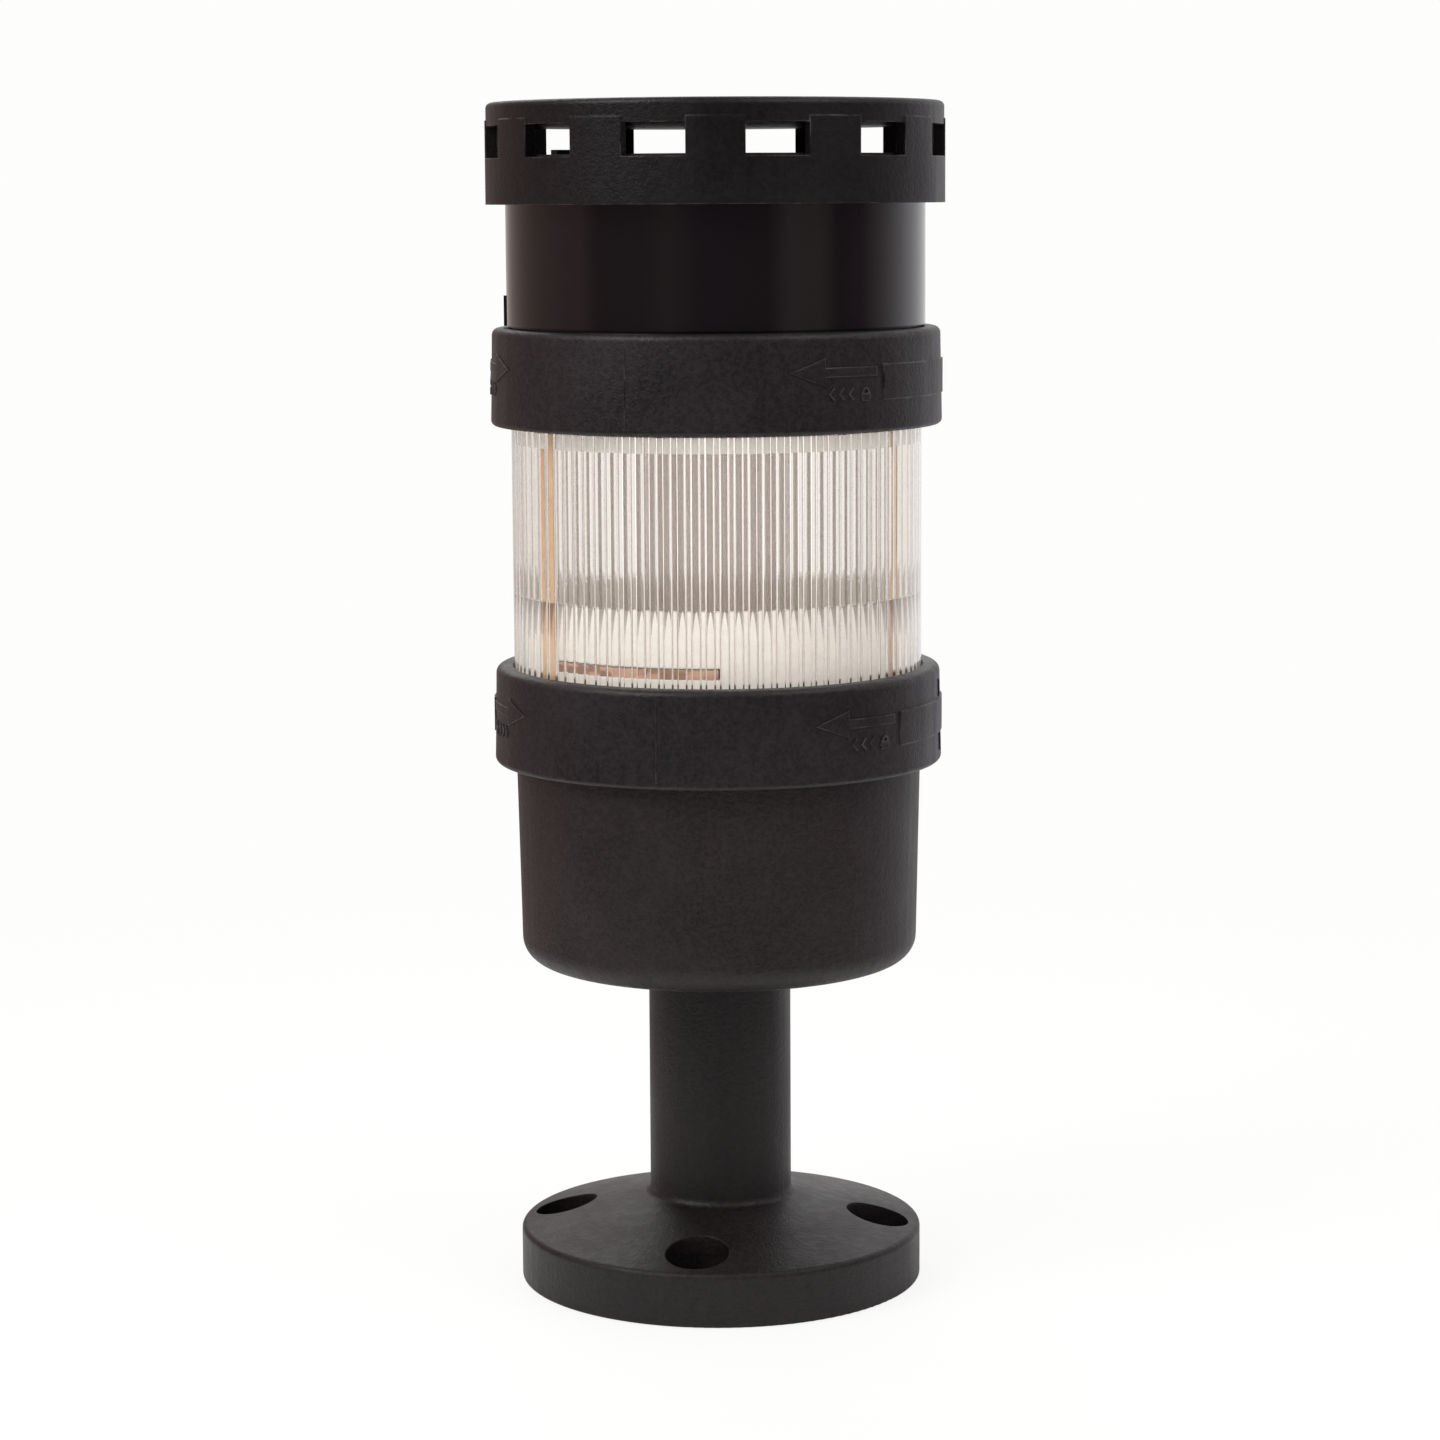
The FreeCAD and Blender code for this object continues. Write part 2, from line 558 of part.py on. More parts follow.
# ---------------------------------------------------------------- light module
def ribbed_room(z0, z1):
    """Room inside the lens: its wall carries rounded upright ribs with a flat between each two."""
    pitch = 2 * math.pi / LENS_RIBS
    land = pitch * LENS_LAND_SHARE
    wall_r = LENS_IN_R + LENS_RIB_H
    edges = []
    for i in range(LENS_RIBS):
        marks = ((i * pitch, wall_r), (i * pitch + land, wall_r),
                 (i * pitch + (pitch + land) / 2, LENS_IN_R), ((i + 1) * pitch, wall_r))
        a, b, c, d = [FreeCAD.Vector(r * math.cos(t), r * math.sin(t), z0) for t, r in marks]
        edges.append(Part.LineSegment(a, b).toShape())
        edges.append(Part.Arc(b, c, d).toShape())
    wire = Part.Wire(edges)
    return Part.Face(wire).extrude(FreeCAD.Vector(0, 0, z1 - z0))


def lens():
    """Clear lens: upright ribs inside the wall, and the collar for the module above."""
    tube = disc(NECK_R, LENS_SEAT_Z, LENS_SHOULDER_Z)
    tube = tube.cut(ribbed_room(LENS_SEAT_Z, LENS_SHOULDER_Z - FIT_GAP))
    tube = tube.cut(disc(COLLAR_IN_R, LENS_SEAT_Z, LENS_SHOULDER_Z))
    return tube.fuse(bayonet_collar(LENS_SHOULDER_Z))


def strip_slot(z0, z1):
    """Room for one contact strip that runs upwards, with play."""
    return block(STRIP_R - FIT_GAP, STRIP_OUT_R + FIT_GAP, STRIP_W + 2 * FIT_GAP, z0, z1)


def light_chassis():
    """White base of the light module: flange, board seat and skirt inside the lens."""
    floor_z = CHASSIS_Z + CHASSIS_FLOOR_T
    rim_z = LENS_SEAT_Z + SEAT_RIM_H
    skirt_z = LENS_SEAT_Z + SKIRT_H
    skirt_in_r = SKIRT_R - SKIRT_WALL
    ledge_r = skirt_in_r - LED_BOARD_LEDGE
    base = turned([(0, CHASSIS_Z), (FLANGE_R, CHASSIS_Z), (FLANGE_R, LENS_SEAT_Z),
                   (LENS_IN_R - RUN_GAP, LENS_SEAT_Z), (LENS_IN_R - RUN_GAP, rim_z), (SKIRT_R, rim_z),
                   (SKIRT_R, skirt_z), (skirt_in_r, skirt_z), (skirt_in_r, LED_BOARD_Z),
                   (ledge_r, LED_BOARD_Z), (ledge_r, floor_z), (0, floor_z)])
    edge_slot = sector(skirt_in_r - RUN_GAP, SKIRT_R + RUN_GAP, LED_BOARD_Z, LED_BOARD_TOP_Z + RUN_GAP,
                       FRONT_DEG - BOARD_EDGE_DEG / 2, BOARD_EDGE_DEG + 1)
    foot_slot = block(STRIP_OUT_R - STRIP_FOOT_L, STRIP_OUT_R + FIT_GAP, STRIP_W + 2 * FIT_GAP,
                      CHASSIS_Z, CHASSIS_Z + STRIP_T)
    pilot = rod(SCREW_PILOT_R, LED_SCREW_R, LED_BOARD_Z - SCREW_LEN / 2, LED_BOARD_Z)
    pillar = rod(PILLAR_R, LED_SCREW_R, floor_z - FIT_GAP, LED_BOARD_Z)
    base = base.fuse(repeat(pillar, SCREW_DEGS))
    return base.cut([edge_slot] + repeat(strip_slot(CHASSIS_Z, skirt_z), CONTACT_DEGS)
                    + repeat(foot_slot, CONTACT_DEGS) + repeat(pilot, SCREW_DEGS))


def led_board():
    """Round circuit board; part of its edge reaches out through the skirt."""
    board = disc(SKIRT_R - SKIRT_WALL - FIT_GAP, LED_BOARD_Z, LED_BOARD_TOP_Z)
    edge = sector(SKIRT_R / 2, SKIRT_R, LED_BOARD_Z, LED_BOARD_TOP_Z, FRONT_DEG - BOARD_EDGE_DEG / 2,
                  BOARD_EDGE_DEG)
    holes = repeat(rod(SCREW_HOLE_R, LED_SCREW_R, LED_BOARD_Z, LED_BOARD_TOP_Z), SCREW_DEGS)
    slots = repeat(strip_slot(LED_BOARD_Z, LED_BOARD_TOP_Z), CONTACT_DEGS)
    return board.fuse(edge).cut(holes + slots)


def leds():
    """Square lamp chips on the board, inside the diffuser."""
    z0 = LED_BOARD_TOP_Z
    chip = block(LED_CIRCLE_R - LED_SIZE / 2, LED_CIRCLE_R + LED_SIZE / 2, LED_SIZE, z0, z0 + LED_H)
    return Part.makeCompound(repeat(chip, [360.0 * i / LED_COUNT for i in range(LED_COUNT)]))


def led_resistors():
    """Small parts on the board outside the diffuser, two beside each screw."""
    z0 = LED_BOARD_TOP_Z
    part = block(RESISTOR_R - LED_SIZE / 2, RESISTOR_R + LED_SIZE / 2, LED_SIZE / 2, z0, z0 + LED_H)
    return Part.makeCompound(repeat(part, [deg + side for deg in SCREW_DEGS for side in (-30, 30)]))


def diffuser_sleeve():
    """Frosted tube between the board and the cover, around the lamp chips."""
    return hoop(SLEEVE_R - SLEEVE_WALL, SLEEVE_R, LED_BOARD_TOP_Z, COVER_Z)


def light_cover():
    """White disc that closes the light module under the collar, with a short rim in the lens."""
    rim_r = LENS_IN_R - RUN_GAP
    rim_in_r = rim_r - COVER_SKIRT_WALL
    plug_r = COLLAR_IN_R - RUN_GAP
    low_z = COVER_Z - COVER_SKIRT_H
    cover = turned([(0, COVER_Z), (rim_in_r, COVER_Z), (rim_in_r, low_z), (rim_r, low_z),
                    (rim_r, LENS_SHOULDER_Z - FIT_GAP), (plug_r, LENS_SHOULDER_Z - FIT_GAP),
                    (plug_r, COVER_TOP_Z), (0, COVER_TOP_Z)])
    return cover.cut(repeat(strip_slot(low_z, COVER_TOP_Z), CONTACT_DEGS))


def contact_strips():
    """Bent metal strips from the chassis's underside up to the cover's upper face."""
    foot_r = STRIP_OUT_R - STRIP_FOOT_L + FIT_GAP
    leg = block(STRIP_R, STRIP_OUT_R, STRIP_W, CHASSIS_Z, COVER_TOP_Z + STRIP_T)
    foot = block(foot_r, STRIP_OUT_R, STRIP_W, CHASSIS_Z, CHASSIS_Z + STRIP_T)
    head = block(foot_r, STRIP_OUT_R, STRIP_W, COVER_TOP_Z, COVER_TOP_Z + STRIP_T)
    strip = leg.fuse([foot, head]).removeSplitter()
    return Part.makeCompound(repeat(strip, CONTACT_DEGS))


# ---------------------------------------------------------------- sounder module
def sounder_base():
    """Base of the sounder module: flange, spigot in the body, screw bosses and board pillars."""
    floor_z = BASE_Z + SOUNDER_FLOOR_T
    spigot_r = SOUNDER_IN_R - RUN_GAP
    base = turned([(0, BASE_Z), (FLANGE_R, BASE_Z), (FLANGE_R, SOUNDER_SEAT_Z), (spigot_r, SOUNDER_SEAT_Z),
                   (spigot_r, SPIGOT_TOP_Z), (spigot_r - SPIGOT_WALL, SPIGOT_TOP_Z),
                   (spigot_r - SPIGOT_WALL, floor_z), (0, floor_z)])
    boss = rod(BOSS_R, SCREW_CIRCLE_R, floor_z - FIT_GAP, SPIGOT_TOP_Z)
    pillar = rod(PILLAR_R, PILLAR_CIRCLE_R, floor_z - FIT_GAP, SOUND_BOARD_Z)
    base = base.fuse(repeat(boss, SCREW_DEGS) + repeat(pillar, SCREW_DEGS))
    head_room = rod(SCREW_HEAD_R + RUN_GAP, SCREW_CIRCLE_R, BASE_Z, BASE_Z + SCREW_HEAD_H + RUN_GAP)
    screw_hole = rod(SCREW_HOLE_R, SCREW_CIRCLE_R, BASE_Z, SPIGOT_TOP_Z)
    pilot = rod(SCREW_PILOT_R, PILLAR_CIRCLE_R, SOUND_BOARD_Z - SCREW_LEN + BOARD_T, SOUND_BOARD_Z)
    pin_hole = rod(PIN_R + FIT_GAP, PIN_CIRCLE_R, BASE_Z, floor_z)
    pin_head_hole = rod(PIN_HEAD_R + FIT_GAP, PIN_CIRCLE_R, BASE_Z, BASE_Z + PIN_HEAD_T)
    return base.cut(repeat(head_room, SCREW_DEGS) + repeat(screw_hole, SCREW_DEGS)
                    + repeat(pilot, SCREW_DEGS) + repeat(pin_hole, CONTACT_DEGS)
                    + repeat(pin_head_hole, CONTACT_DEGS))


def sounder_body():
    """Smooth cylinder with a neck through the locking ring, screw bosses and an index mark."""
    body = turned([(SOUNDER_IN_R, SOUNDER_SEAT_Z), (NECK_R, SOUNDER_SEAT_Z), (NECK_R, SOUNDER_SHOULDER_Z),
                   (SOUNDER_R, SOUNDER_SHOULDER_Z), (SOUNDER_R, DECK_Z), (SOUNDER_IN_R, DECK_Z)])
    boss = rod(BOSS_R, SCREW_CIRCLE_R, SPIGOT_TOP_Z, DECK_Z)
    web = block(SCREW_CIRCLE_R, SOUNDER_IN_R + FIT_GAP, BOSS_R, SPIGOT_TOP_Z, DECK_Z)
    mark = block(SOUNDER_IN_R + SOUNDER_WALL / 2, SOUNDER_R + MARK_PROUD, MARK_W, SOUNDER_SHOULDER_Z,
                 SOUNDER_SHOULDER_Z + MARK_H)
    body = body.fuse(repeat(boss, SCREW_DEGS) + repeat(web, SCREW_DEGS) + [spun(mark, FRONT_DEG + MARK_DEG)])
    low_pilot = rod(SCREW_PILOT_R, SCREW_CIRCLE_R, SPIGOT_TOP_Z, SPIGOT_TOP_Z + SCREW_LEN)
    high_pilot = rod(SCREW_PILOT_R, SCREW_CIRCLE_R, DECK_Z - SCREW_LEN, DECK_Z)
    return body.cut(repeat(low_pilot, SCREW_DEGS) + repeat(high_pilot, SCREW_DEGS))


def sounder_contact_pins():
    """Headed pins that carry the supply from the base's underside to the board."""
    head = rod(PIN_HEAD_R, PIN_CIRCLE_R, BASE_Z, BASE_Z + PIN_HEAD_T)
    pin = head.fuse(rod(PIN_R, PIN_CIRCLE_R, BASE_Z, SOUND_BOARD_TOP_Z))
    return Part.makeCompound(repeat(pin, CONTACT_DEGS))


def sounder_board():
    """Round circuit board on the base's pillars."""
    board = disc(SCREW_CIRCLE_R - BOSS_R - RUN_GAP, SOUND_BOARD_Z, SOUND_BOARD_TOP_Z)
    screw_hole = rod(SCREW_HOLE_R, PILLAR_CIRCLE_R, SOUND_BOARD_Z, SOUND_BOARD_TOP_Z)
    pin_hole = rod(PIN_R + FIT_GAP, PIN_CIRCLE_R, SOUND_BOARD_Z, SOUND_BOARD_TOP_Z)
    return board.cut(repeat(screw_hole, SCREW_DEGS) + repeat(pin_hole, CONTACT_DEGS))


def sounder_components():
    """Driver chip, coil and capacitors on the sounder's board."""
    z = SOUND_BOARD_TOP_Z
    chip = Part.makeBox(CHIP_L, CHIP_W, CHIP_H, FreeCAD.Vector(-CHIP_L - PART_GAP, -CHIP_W / 2, z))
    coil = Part.makeBox(COIL_L, COIL_W, COIL_H, FreeCAD.Vector(PART_GAP, -COIL_W, z))
    side = CAPACITOR_R + PART_GAP / 2
    capacitors = [Part.makeCylinder(CAPACITOR_R, CAPACITOR_H, FreeCAD.Vector(x, 2 * side, z))
                  for x in (-side, side)]
    return Part.makeCompound([chip, coil] + capacitors)


def sound_deck():
    """Deck that closes the sounder's body, with sound holes, and a rim that the cap snaps over."""
    rim_z = CAP_Z + CAP_LIP_H
    deck = turned([(0, DECK_Z), (SOUNDER_R + FIT_GAP, DECK_Z), (SOUNDER_R + FIT_GAP, rim_z),
                   (DECK_RIM_R, rim_z), (DECK_RIM_R, DECK_Z + DECK_T), (0, DECK_Z + DECK_T)])
    degs = [360.0 * i / DECK_HOLES for i in range(DECK_HOLES)]
    sound_hole = rod(DECK_HOLE_R, DECK_HOLE_CIRCLE_R, DECK_Z, DECK_Z + DECK_T)
    screw_hole = rod(SCREW_HOLE_R, SCREW_CIRCLE_R, DECK_Z, DECK_Z + DECK_T)
    head_room = rod(SCREW_HEAD_R + RUN_GAP, SCREW_CIRCLE_R, DECK_Z + DECK_T - SCREW_HEAD_H, DECK_Z + DECK_T)
    key = block(SOUNDER_IN_R - DECK_KEY_W, SOUNDER_IN_R + DECK_KEY_W, DECK_KEY_W, DECK_Z + DECK_T / 2,
                DECK_Z + DECK_T + DECK_KEY_H)
    deck = deck.fuse(spun(key, FRONT_DEG + DECK_KEY_DEG))
    return deck.cut(repeat(sound_hole, degs) + repeat(screw_hole, SCREW_DEGS) + repeat(head_room, SCREW_DEGS)
                    + [disc(DECK_HOLE_R, DECK_Z, DECK_Z + DECK_T)])


def sounder_horn():
    """Chamber under the deck with a ledge for the piezo disc."""
    in_r = HORN_R - HORN_WALL
    ledge_z = HORN_Z + HORN_LEDGE_T
    return turned([(in_r - HORN_LEDGE_W, HORN_Z), (HORN_R, HORN_Z), (HORN_R, DECK_Z), (in_r, DECK_Z),
                   (in_r, ledge_z), (in_r - HORN_LEDGE_W, ledge_z)])


def piezo_disc():
    """Thin sounding disc on the horn's ledge."""
    ledge_z = HORN_Z + HORN_LEDGE_T
    return disc(HORN_R - HORN_WALL - FIT_GAP, ledge_z, ledge_z + PIEZO_T)


def sounder_cap():
    """Band, posts and lid in one moulding, with open windows between the posts."""
    lip_r = SOUNDER_R + 2 * FIT_GAP
    lid_r = CAP_R - CAP_LID_INSET
    lid = round_edges(disc(lid_r, LID_Z, LID_Z + CAP_LID_T), lid_r, LID_Z + CAP_LID_T, CAP_LID_ROUND)
    band = turned([(lip_r, CAP_Z), (CAP_R, CAP_Z), (CAP_R, SILL_Z), (CAP_ROOM_R, SILL_Z),
                   (CAP_ROOM_R, CAP_Z + CAP_LIP_H), (lip_r, CAP_Z + CAP_LIP_H)])
    post = sector(CAP_R - CAP_POST_T, CAP_R, CAP_Z + CAP_LIP_H, LID_Z + CAP_LID_ROUND, 0, CAP_POST_DEG)
    return band.fuse([lid] + repeat(post, [FRONT_DEG + 360.0 * i / CAP_POSTS for i in range(CAP_POSTS)]))


# ---------------------------------------------------------------- nodes
NODES = {
    "mounting_foot": mounting_foot,
    "foot_seal": foot_seal,
    "terminal_housing": terminal_housing,
    "tube_seal": tube_seal,
    "tube_clamp_screws": tube_clamp_screws,
    "terminal_carrier": terminal_carrier,
    "terminal_blocks": terminal_blocks,
    "terminal_screws": terminal_screws,
    "carrier_screws": lambda: screw_set(SCREW_CIRCLE_R, CARRIER_TOP_Z, SCREW_LEN),
    "terminal_contacts": lambda: contact_springs(CARRIER_TOP_Z, CHASSIS_Z),
    "lower_module_seal": lambda: module_seal(HOUSING_SHOULDER_Z),
    "lower_locking_ring": lambda: locking_ring(HOUSING_SHOULDER_Z, LOWER_PAD_DEG),
    "lens": lens,
    "light_chassis": light_chassis,
    "led_board": led_board,
    "led_board_screws": lambda: screw_set(LED_SCREW_R, LED_BOARD_TOP_Z, SCREW_LEN / 2),
    "leds": leds,
    "led_resistors": led_resistors,
    "diffuser_sleeve": diffuser_sleeve,
    "contact_strips": contact_strips,
    "light_cover": light_cover,
    "light_contacts": lambda: contact_springs(COVER_TOP_Z + STRIP_T, BASE_Z),
    "upper_module_seal": lambda: module_seal(LENS_SHOULDER_Z),
    "upper_locking_ring": lambda: locking_ring(LENS_SHOULDER_Z, UPPER_PAD_DEG),
    "sounder_base": sounder_base,
    "sounder_base_screws": lambda: screw_set(SCREW_CIRCLE_R, BASE_Z + SCREW_HEAD_H + RUN_GAP,
                                             SCREW_LEN + SPIGOT_H, upward=True),
    "sounder_body": sounder_body,
    "sounder_contact_pins": sounder_contact_pins,
    "sounder_board": sounder_board,
    "sounder_board_screws": lambda: screw_set(PILLAR_CIRCLE_R, SOUND_BOARD_TOP_Z, SCREW_LEN - BOARD_T),
    "sounder_components": sounder_components,
    "sound_deck": sound_deck,
    "deck_screws": lambda: screw_set(SCREW_CIRCLE_R, DECK_Z + DECK_T - SCREW_HEAD_H, SCREW_LEN),
    "sounder_horn": sounder_horn,
    "piezo_disc": piezo_disc,
    "sounder_cap": sounder_cap,
}

os.makedirs("parts", exist_ok=True)
for node, make in NODES.items():
    save(node, make())
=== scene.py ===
import logging
import math
from dataclasses import dataclass, field
from enum import Enum
from typing import Callable, Iterable

import bmesh
import bpy
from mathutils import Matrix, Vector


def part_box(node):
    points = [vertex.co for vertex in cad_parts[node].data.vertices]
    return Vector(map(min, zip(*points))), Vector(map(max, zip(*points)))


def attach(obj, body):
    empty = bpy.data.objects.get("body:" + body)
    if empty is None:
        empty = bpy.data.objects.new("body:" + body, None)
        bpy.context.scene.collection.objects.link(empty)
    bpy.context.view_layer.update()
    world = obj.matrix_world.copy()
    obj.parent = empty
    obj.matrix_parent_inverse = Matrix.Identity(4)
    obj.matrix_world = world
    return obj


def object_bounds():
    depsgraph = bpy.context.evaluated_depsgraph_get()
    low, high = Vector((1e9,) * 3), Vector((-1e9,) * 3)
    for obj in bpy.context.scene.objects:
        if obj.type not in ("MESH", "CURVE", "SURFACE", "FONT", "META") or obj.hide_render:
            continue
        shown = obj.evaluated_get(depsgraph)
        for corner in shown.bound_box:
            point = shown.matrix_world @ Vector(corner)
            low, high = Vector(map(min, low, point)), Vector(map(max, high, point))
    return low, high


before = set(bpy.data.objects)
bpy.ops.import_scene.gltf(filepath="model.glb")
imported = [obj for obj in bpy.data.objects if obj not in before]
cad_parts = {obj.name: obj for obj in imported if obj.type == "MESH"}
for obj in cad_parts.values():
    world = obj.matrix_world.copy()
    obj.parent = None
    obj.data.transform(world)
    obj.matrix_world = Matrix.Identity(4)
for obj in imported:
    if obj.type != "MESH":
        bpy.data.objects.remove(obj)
CAD_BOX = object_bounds()

# Looks of a modular stack light: a clear light module between two locking rings, a sounder
# with a slotted cap above it and a terminal housing on a tube foot below it.

LOG = logging.getLogger("stack_light")
MM = 0.001
FRONT_DEG = -81.5          # direction of the marked front round the upright axis, as in the source
Point = tuple[float, float]
Colour = tuple[float, float, float]
Socket = bpy.types.NodeSocket
Value = float | tuple | Socket


# ---------------- shader nodes
class Graph:
    """Writes shader nodes and their links into one node tree."""

    def __init__(self, tree: bpy.types.NodeTree) -> None:
        """Keeps the tree that the nodes go into.

        Args:
            tree: The node tree of a material, a world or a group.
        """
        self.tree = tree

    def add(self, kind: str, inputs: dict[str | int, Value] | None = None,
            **settings: object) -> bpy.types.Node:
        """Adds a node, sets its properties and fills or links its inputs.

        Args:
            kind: Name of the node type without its ShaderNode prefix.
            inputs: Value or source socket for each input, by name or index.
            **settings: Properties of the node itself.

        Returns:
            The new node.
        """
        node = self.tree.nodes.new("ShaderNode" + kind)
        for name, value in settings.items():
            setattr(node, name, value)
        self.fill(node, inputs or {})
        return node

    def fill(self, node: bpy.types.Node, inputs: dict[str | int, Value]) -> None:
        """Sets or links the inputs of a node.

        Args:
            node: The node.
            inputs: Value, colour or source socket for each input, by name or index.
        """
        for key, value in inputs.items():
            if isinstance(value, Socket):
                self.tree.links.new(value, node.inputs[key])
            elif isinstance(value, tuple) and len(value) == 3 and node.inputs[key].type == "RGBA":
                node.inputs[key].default_value = (*value, 1.0)
            else:
                node.inputs[key].default_value = value

    def math(self, operation: str, a: Value, b: Value = 0.0, clamp: bool = False) -> Socket:
        """Adds a Math node and returns its output.

        Args:
            operation: Name of the operation.
            a: First value.
            b: Second value.
            clamp: Whether the result is kept from 0 to 1.

        Returns:
            The socket with the result.
        """
        return self.add("Math", {0: a, 1: b}, operation=operation, use_clamp=clamp).outputs[0]

    def span(self, value: Value, low: float, high: float, to_low: float = 0.0,
             to_high: float = 1.0) -> Socket:
        """Maps a range onto another one, smoothly and kept inside it.

        Args:
            value: The value to map.
            low: Start of the range that is read.
            high: End of the range that is read.
            to_low: Result at the start.
            to_high: Result at the end.

        Returns:
            The socket with the result.
        """
        node = self.add("MapRange", {0: value, 1: low, 2: high, 3: to_low, 4: to_high},
                        interpolation_type="SMOOTHSTEP")
        return node.outputs[0]

    def mix(self, share: Value, a: Value, b: Value) -> Socket:
        """Blends two colours.

        Args:
            share: Share of the second colour.
            a: First colour.
            b: Second colour.

        Returns:
            The socket with the blended colour.
        """
        return self.add("Mix", {0: share, 6: a, 7: b}, data_type="RGBA").outputs[2]


class Group:
    """A shader node group with named sockets, built once and placed in many materials."""

    def __init__(self, name: str, inputs: dict[str, float], outputs: Iterable[str]) -> None:
        """Makes an empty group.

        Args:
            name: Name of the group.
            inputs: Default of each input by name; every group also takes a Vector.
            outputs: Names of the outputs; Normal is a vector, Colour a colour, the rest are values.
        """
        self.tree = bpy.data.node_groups.new(name, "ShaderNodeTree")
        self.tree.interface.new_socket("Vector", in_out="INPUT", socket_type="NodeSocketVector")
        for key, default in inputs.items():
            socket = self.tree.interface.new_socket(key, in_out="INPUT", socket_type="NodeSocketFloat")
            socket.default_value = default
        for key in outputs:
            kind = {"Normal": "NodeSocketVector", "Colour": "NodeSocketColor"}.get(key, "NodeSocketFloat")
            self.tree.interface.new_socket(key, in_out="OUTPUT", socket_type=kind)
        self.graph = Graph(self.tree)
        self.source = self.tree.nodes.new("NodeGroupInput").outputs
        self.sink = self.tree.nodes.new("NodeGroupOutput").inputs

    def give(self, name: str, value: Socket) -> None:
        """Links a result to one of the group's outputs."""
        self.tree.links.new(value, self.sink[name])

    def place(self, graph: Graph, vector: Socket, **inputs: Value) -> bpy.types.Node:
        """Places the group in a material.

        Args:
            graph: The material's graph.
            vector: Coordinates that the group reads.
            **inputs: Values for the named inputs.

        Returns:
            The group node.
        """
        return graph.add("Group", {"Vector": vector, **inputs}, node_tree=self.tree)


def moulded_grain() -> Group:
    """Builds the fine spark-eroded grain of a moulding: a height, and a slow mottle.

    Returns:
        The group.
    """
    group = Group("moulded_grain", {"Scale": 2600.0, "Mottle": 60.0}, ("Height", "Mask"))
    g, s = group.graph, group.source
    fine = g.add("TexNoise", {"Vector": s["Vector"], "Scale": s["Scale"], "Detail": 2.0, "Roughness": 0.6})
    half = g.math("MULTIPLY", s["Scale"], 0.45)
    pits = g.add("TexVoronoi", {"Vector": s["Vector"], "Scale": half}, feature="SMOOTH_F1")
    group.give("Height", g.math("ADD", fine.outputs[0], g.math("MULTIPLY", pits.outputs[0], 0.55)))
    slow = g.add("TexNoise", {"Vector": s["Vector"], "Scale": s["Mottle"], "Detail": 3.0})
    group.give("Mask", g.span(slow.outputs[0], 0.32, 0.68))
    return group


def edge_wear_and_highlight() -> Group:
    """Builds the rounding of small edges as a normal, and a broken mask along them for rubbing and a
    painted highlight.

    Returns:
        The group.
    """
    group = Group("edge_wear_and_highlight", {"Radius": 0.00035, "Scale": 300.0}, ("Mask", "Normal"))
    g, s = group.graph, group.source
    bevel = g.add("Bevel", {"Radius": s["Radius"]}, samples=4)
    group.give("Normal", bevel.outputs[0])
    normal = g.add("NewGeometry").outputs["Normal"]
    turn = g.add("VectorMath", {0: bevel.outputs[0], 1: normal}, operation="DOT_PRODUCT").outputs["Value"]
    noise = g.add("TexNoise", {"Vector": s["Vector"], "Scale": s["Scale"], "Detail": 4.0})
    broken = g.span(noise.outputs[0], 0.35, 0.7)
    edge = g.span(g.math("SUBTRACT", 1.0, turn), 0.01, 0.2)
    group.give("Mask", g.math("MULTIPLY", edge, broken, clamp=True))
    return group


def settled_dust() -> Group:
    """Builds the mask of fine dust that lies on faces turned up.

    Returns:
        The group.
    """
    group = Group("settled_dust", {"Scale": 900.0, "Patch": 90.0}, ("Mask",))
    g, s = group.graph, group.source
    up = g.add("SeparateXYZ", {0: g.add("NewGeometry").outputs["Normal"]}).outputs[2]
    specks = g.add("TexNoise", {"Vector": s["Vector"], "Scale": s["Scale"], "Detail": 5.0,
                                "Roughness": 0.7})
    patches = g.add("TexNoise", {"Vector": s["Vector"], "Scale": s["Patch"], "Detail": 2.0})
    lying = g.math("MULTIPLY", g.span(up, 0.05, 0.9), g.span(specks.outputs[0], 0.45, 0.75))
    group.give("Mask", g.math("MULTIPLY", lying, g.span(patches.outputs[0], 0.3, 0.7), clamp=True))
    return group


def draw_marks() -> Group:
    """Builds faint upright streaks, as a part pulled from its mould has.

    Returns:
        The group.
    """
    group = Group("draw_marks", {"Scale": 500.0, "Stretch": 0.03}, ("Height", "Mask"))
    g, s = group.graph, group.source
    stretch = g.add("CombineXYZ", {0: 1.0, 1: 1.0, 2: s["Stretch"]})
    squeezed = g.add("VectorMath", {0: s["Vector"], 1: stretch.outputs[0]}, operation="MULTIPLY")
    noise = g.add("TexNoise", {"Vector": squeezed.outputs[0], "Scale": s["Scale"], "Detail": 3.0})
    group.give("Height", noise.outputs[0])
    group.give("Mask", g.span(noise.outputs[0], 0.4, 0.65))
    return group


def turned_lines() -> Group:
    """Builds fine rings round the upright axis, as turned or pressed metal has.

    Returns:
        The group.
    """
    group = Group("turned_lines", {"Scale": 2500.0}, ("Height", "Mask"))
    g, s = group.graph, group.source
    parts = g.add("SeparateXYZ", {0: s["Vector"]}).outputs
    flat = g.add("CombineXYZ", {0: parts[0], 1: parts[1]})
    radius = g.add("VectorMath", {0: flat.outputs[0]}, operation="LENGTH").outputs["Value"]
    along = g.math("MULTIPLY", g.math("ADD", radius, parts[2]), s["Scale"])
    noise = g.add("TexNoise", {"W": along, "Scale": 1.0, "Detail": 2.0}, noise_dimensions="1D")
    group.give("Height", noise.outputs[0])
    group.give("Mask", g.span(noise.outputs[0], 0.35, 0.65))
    return group


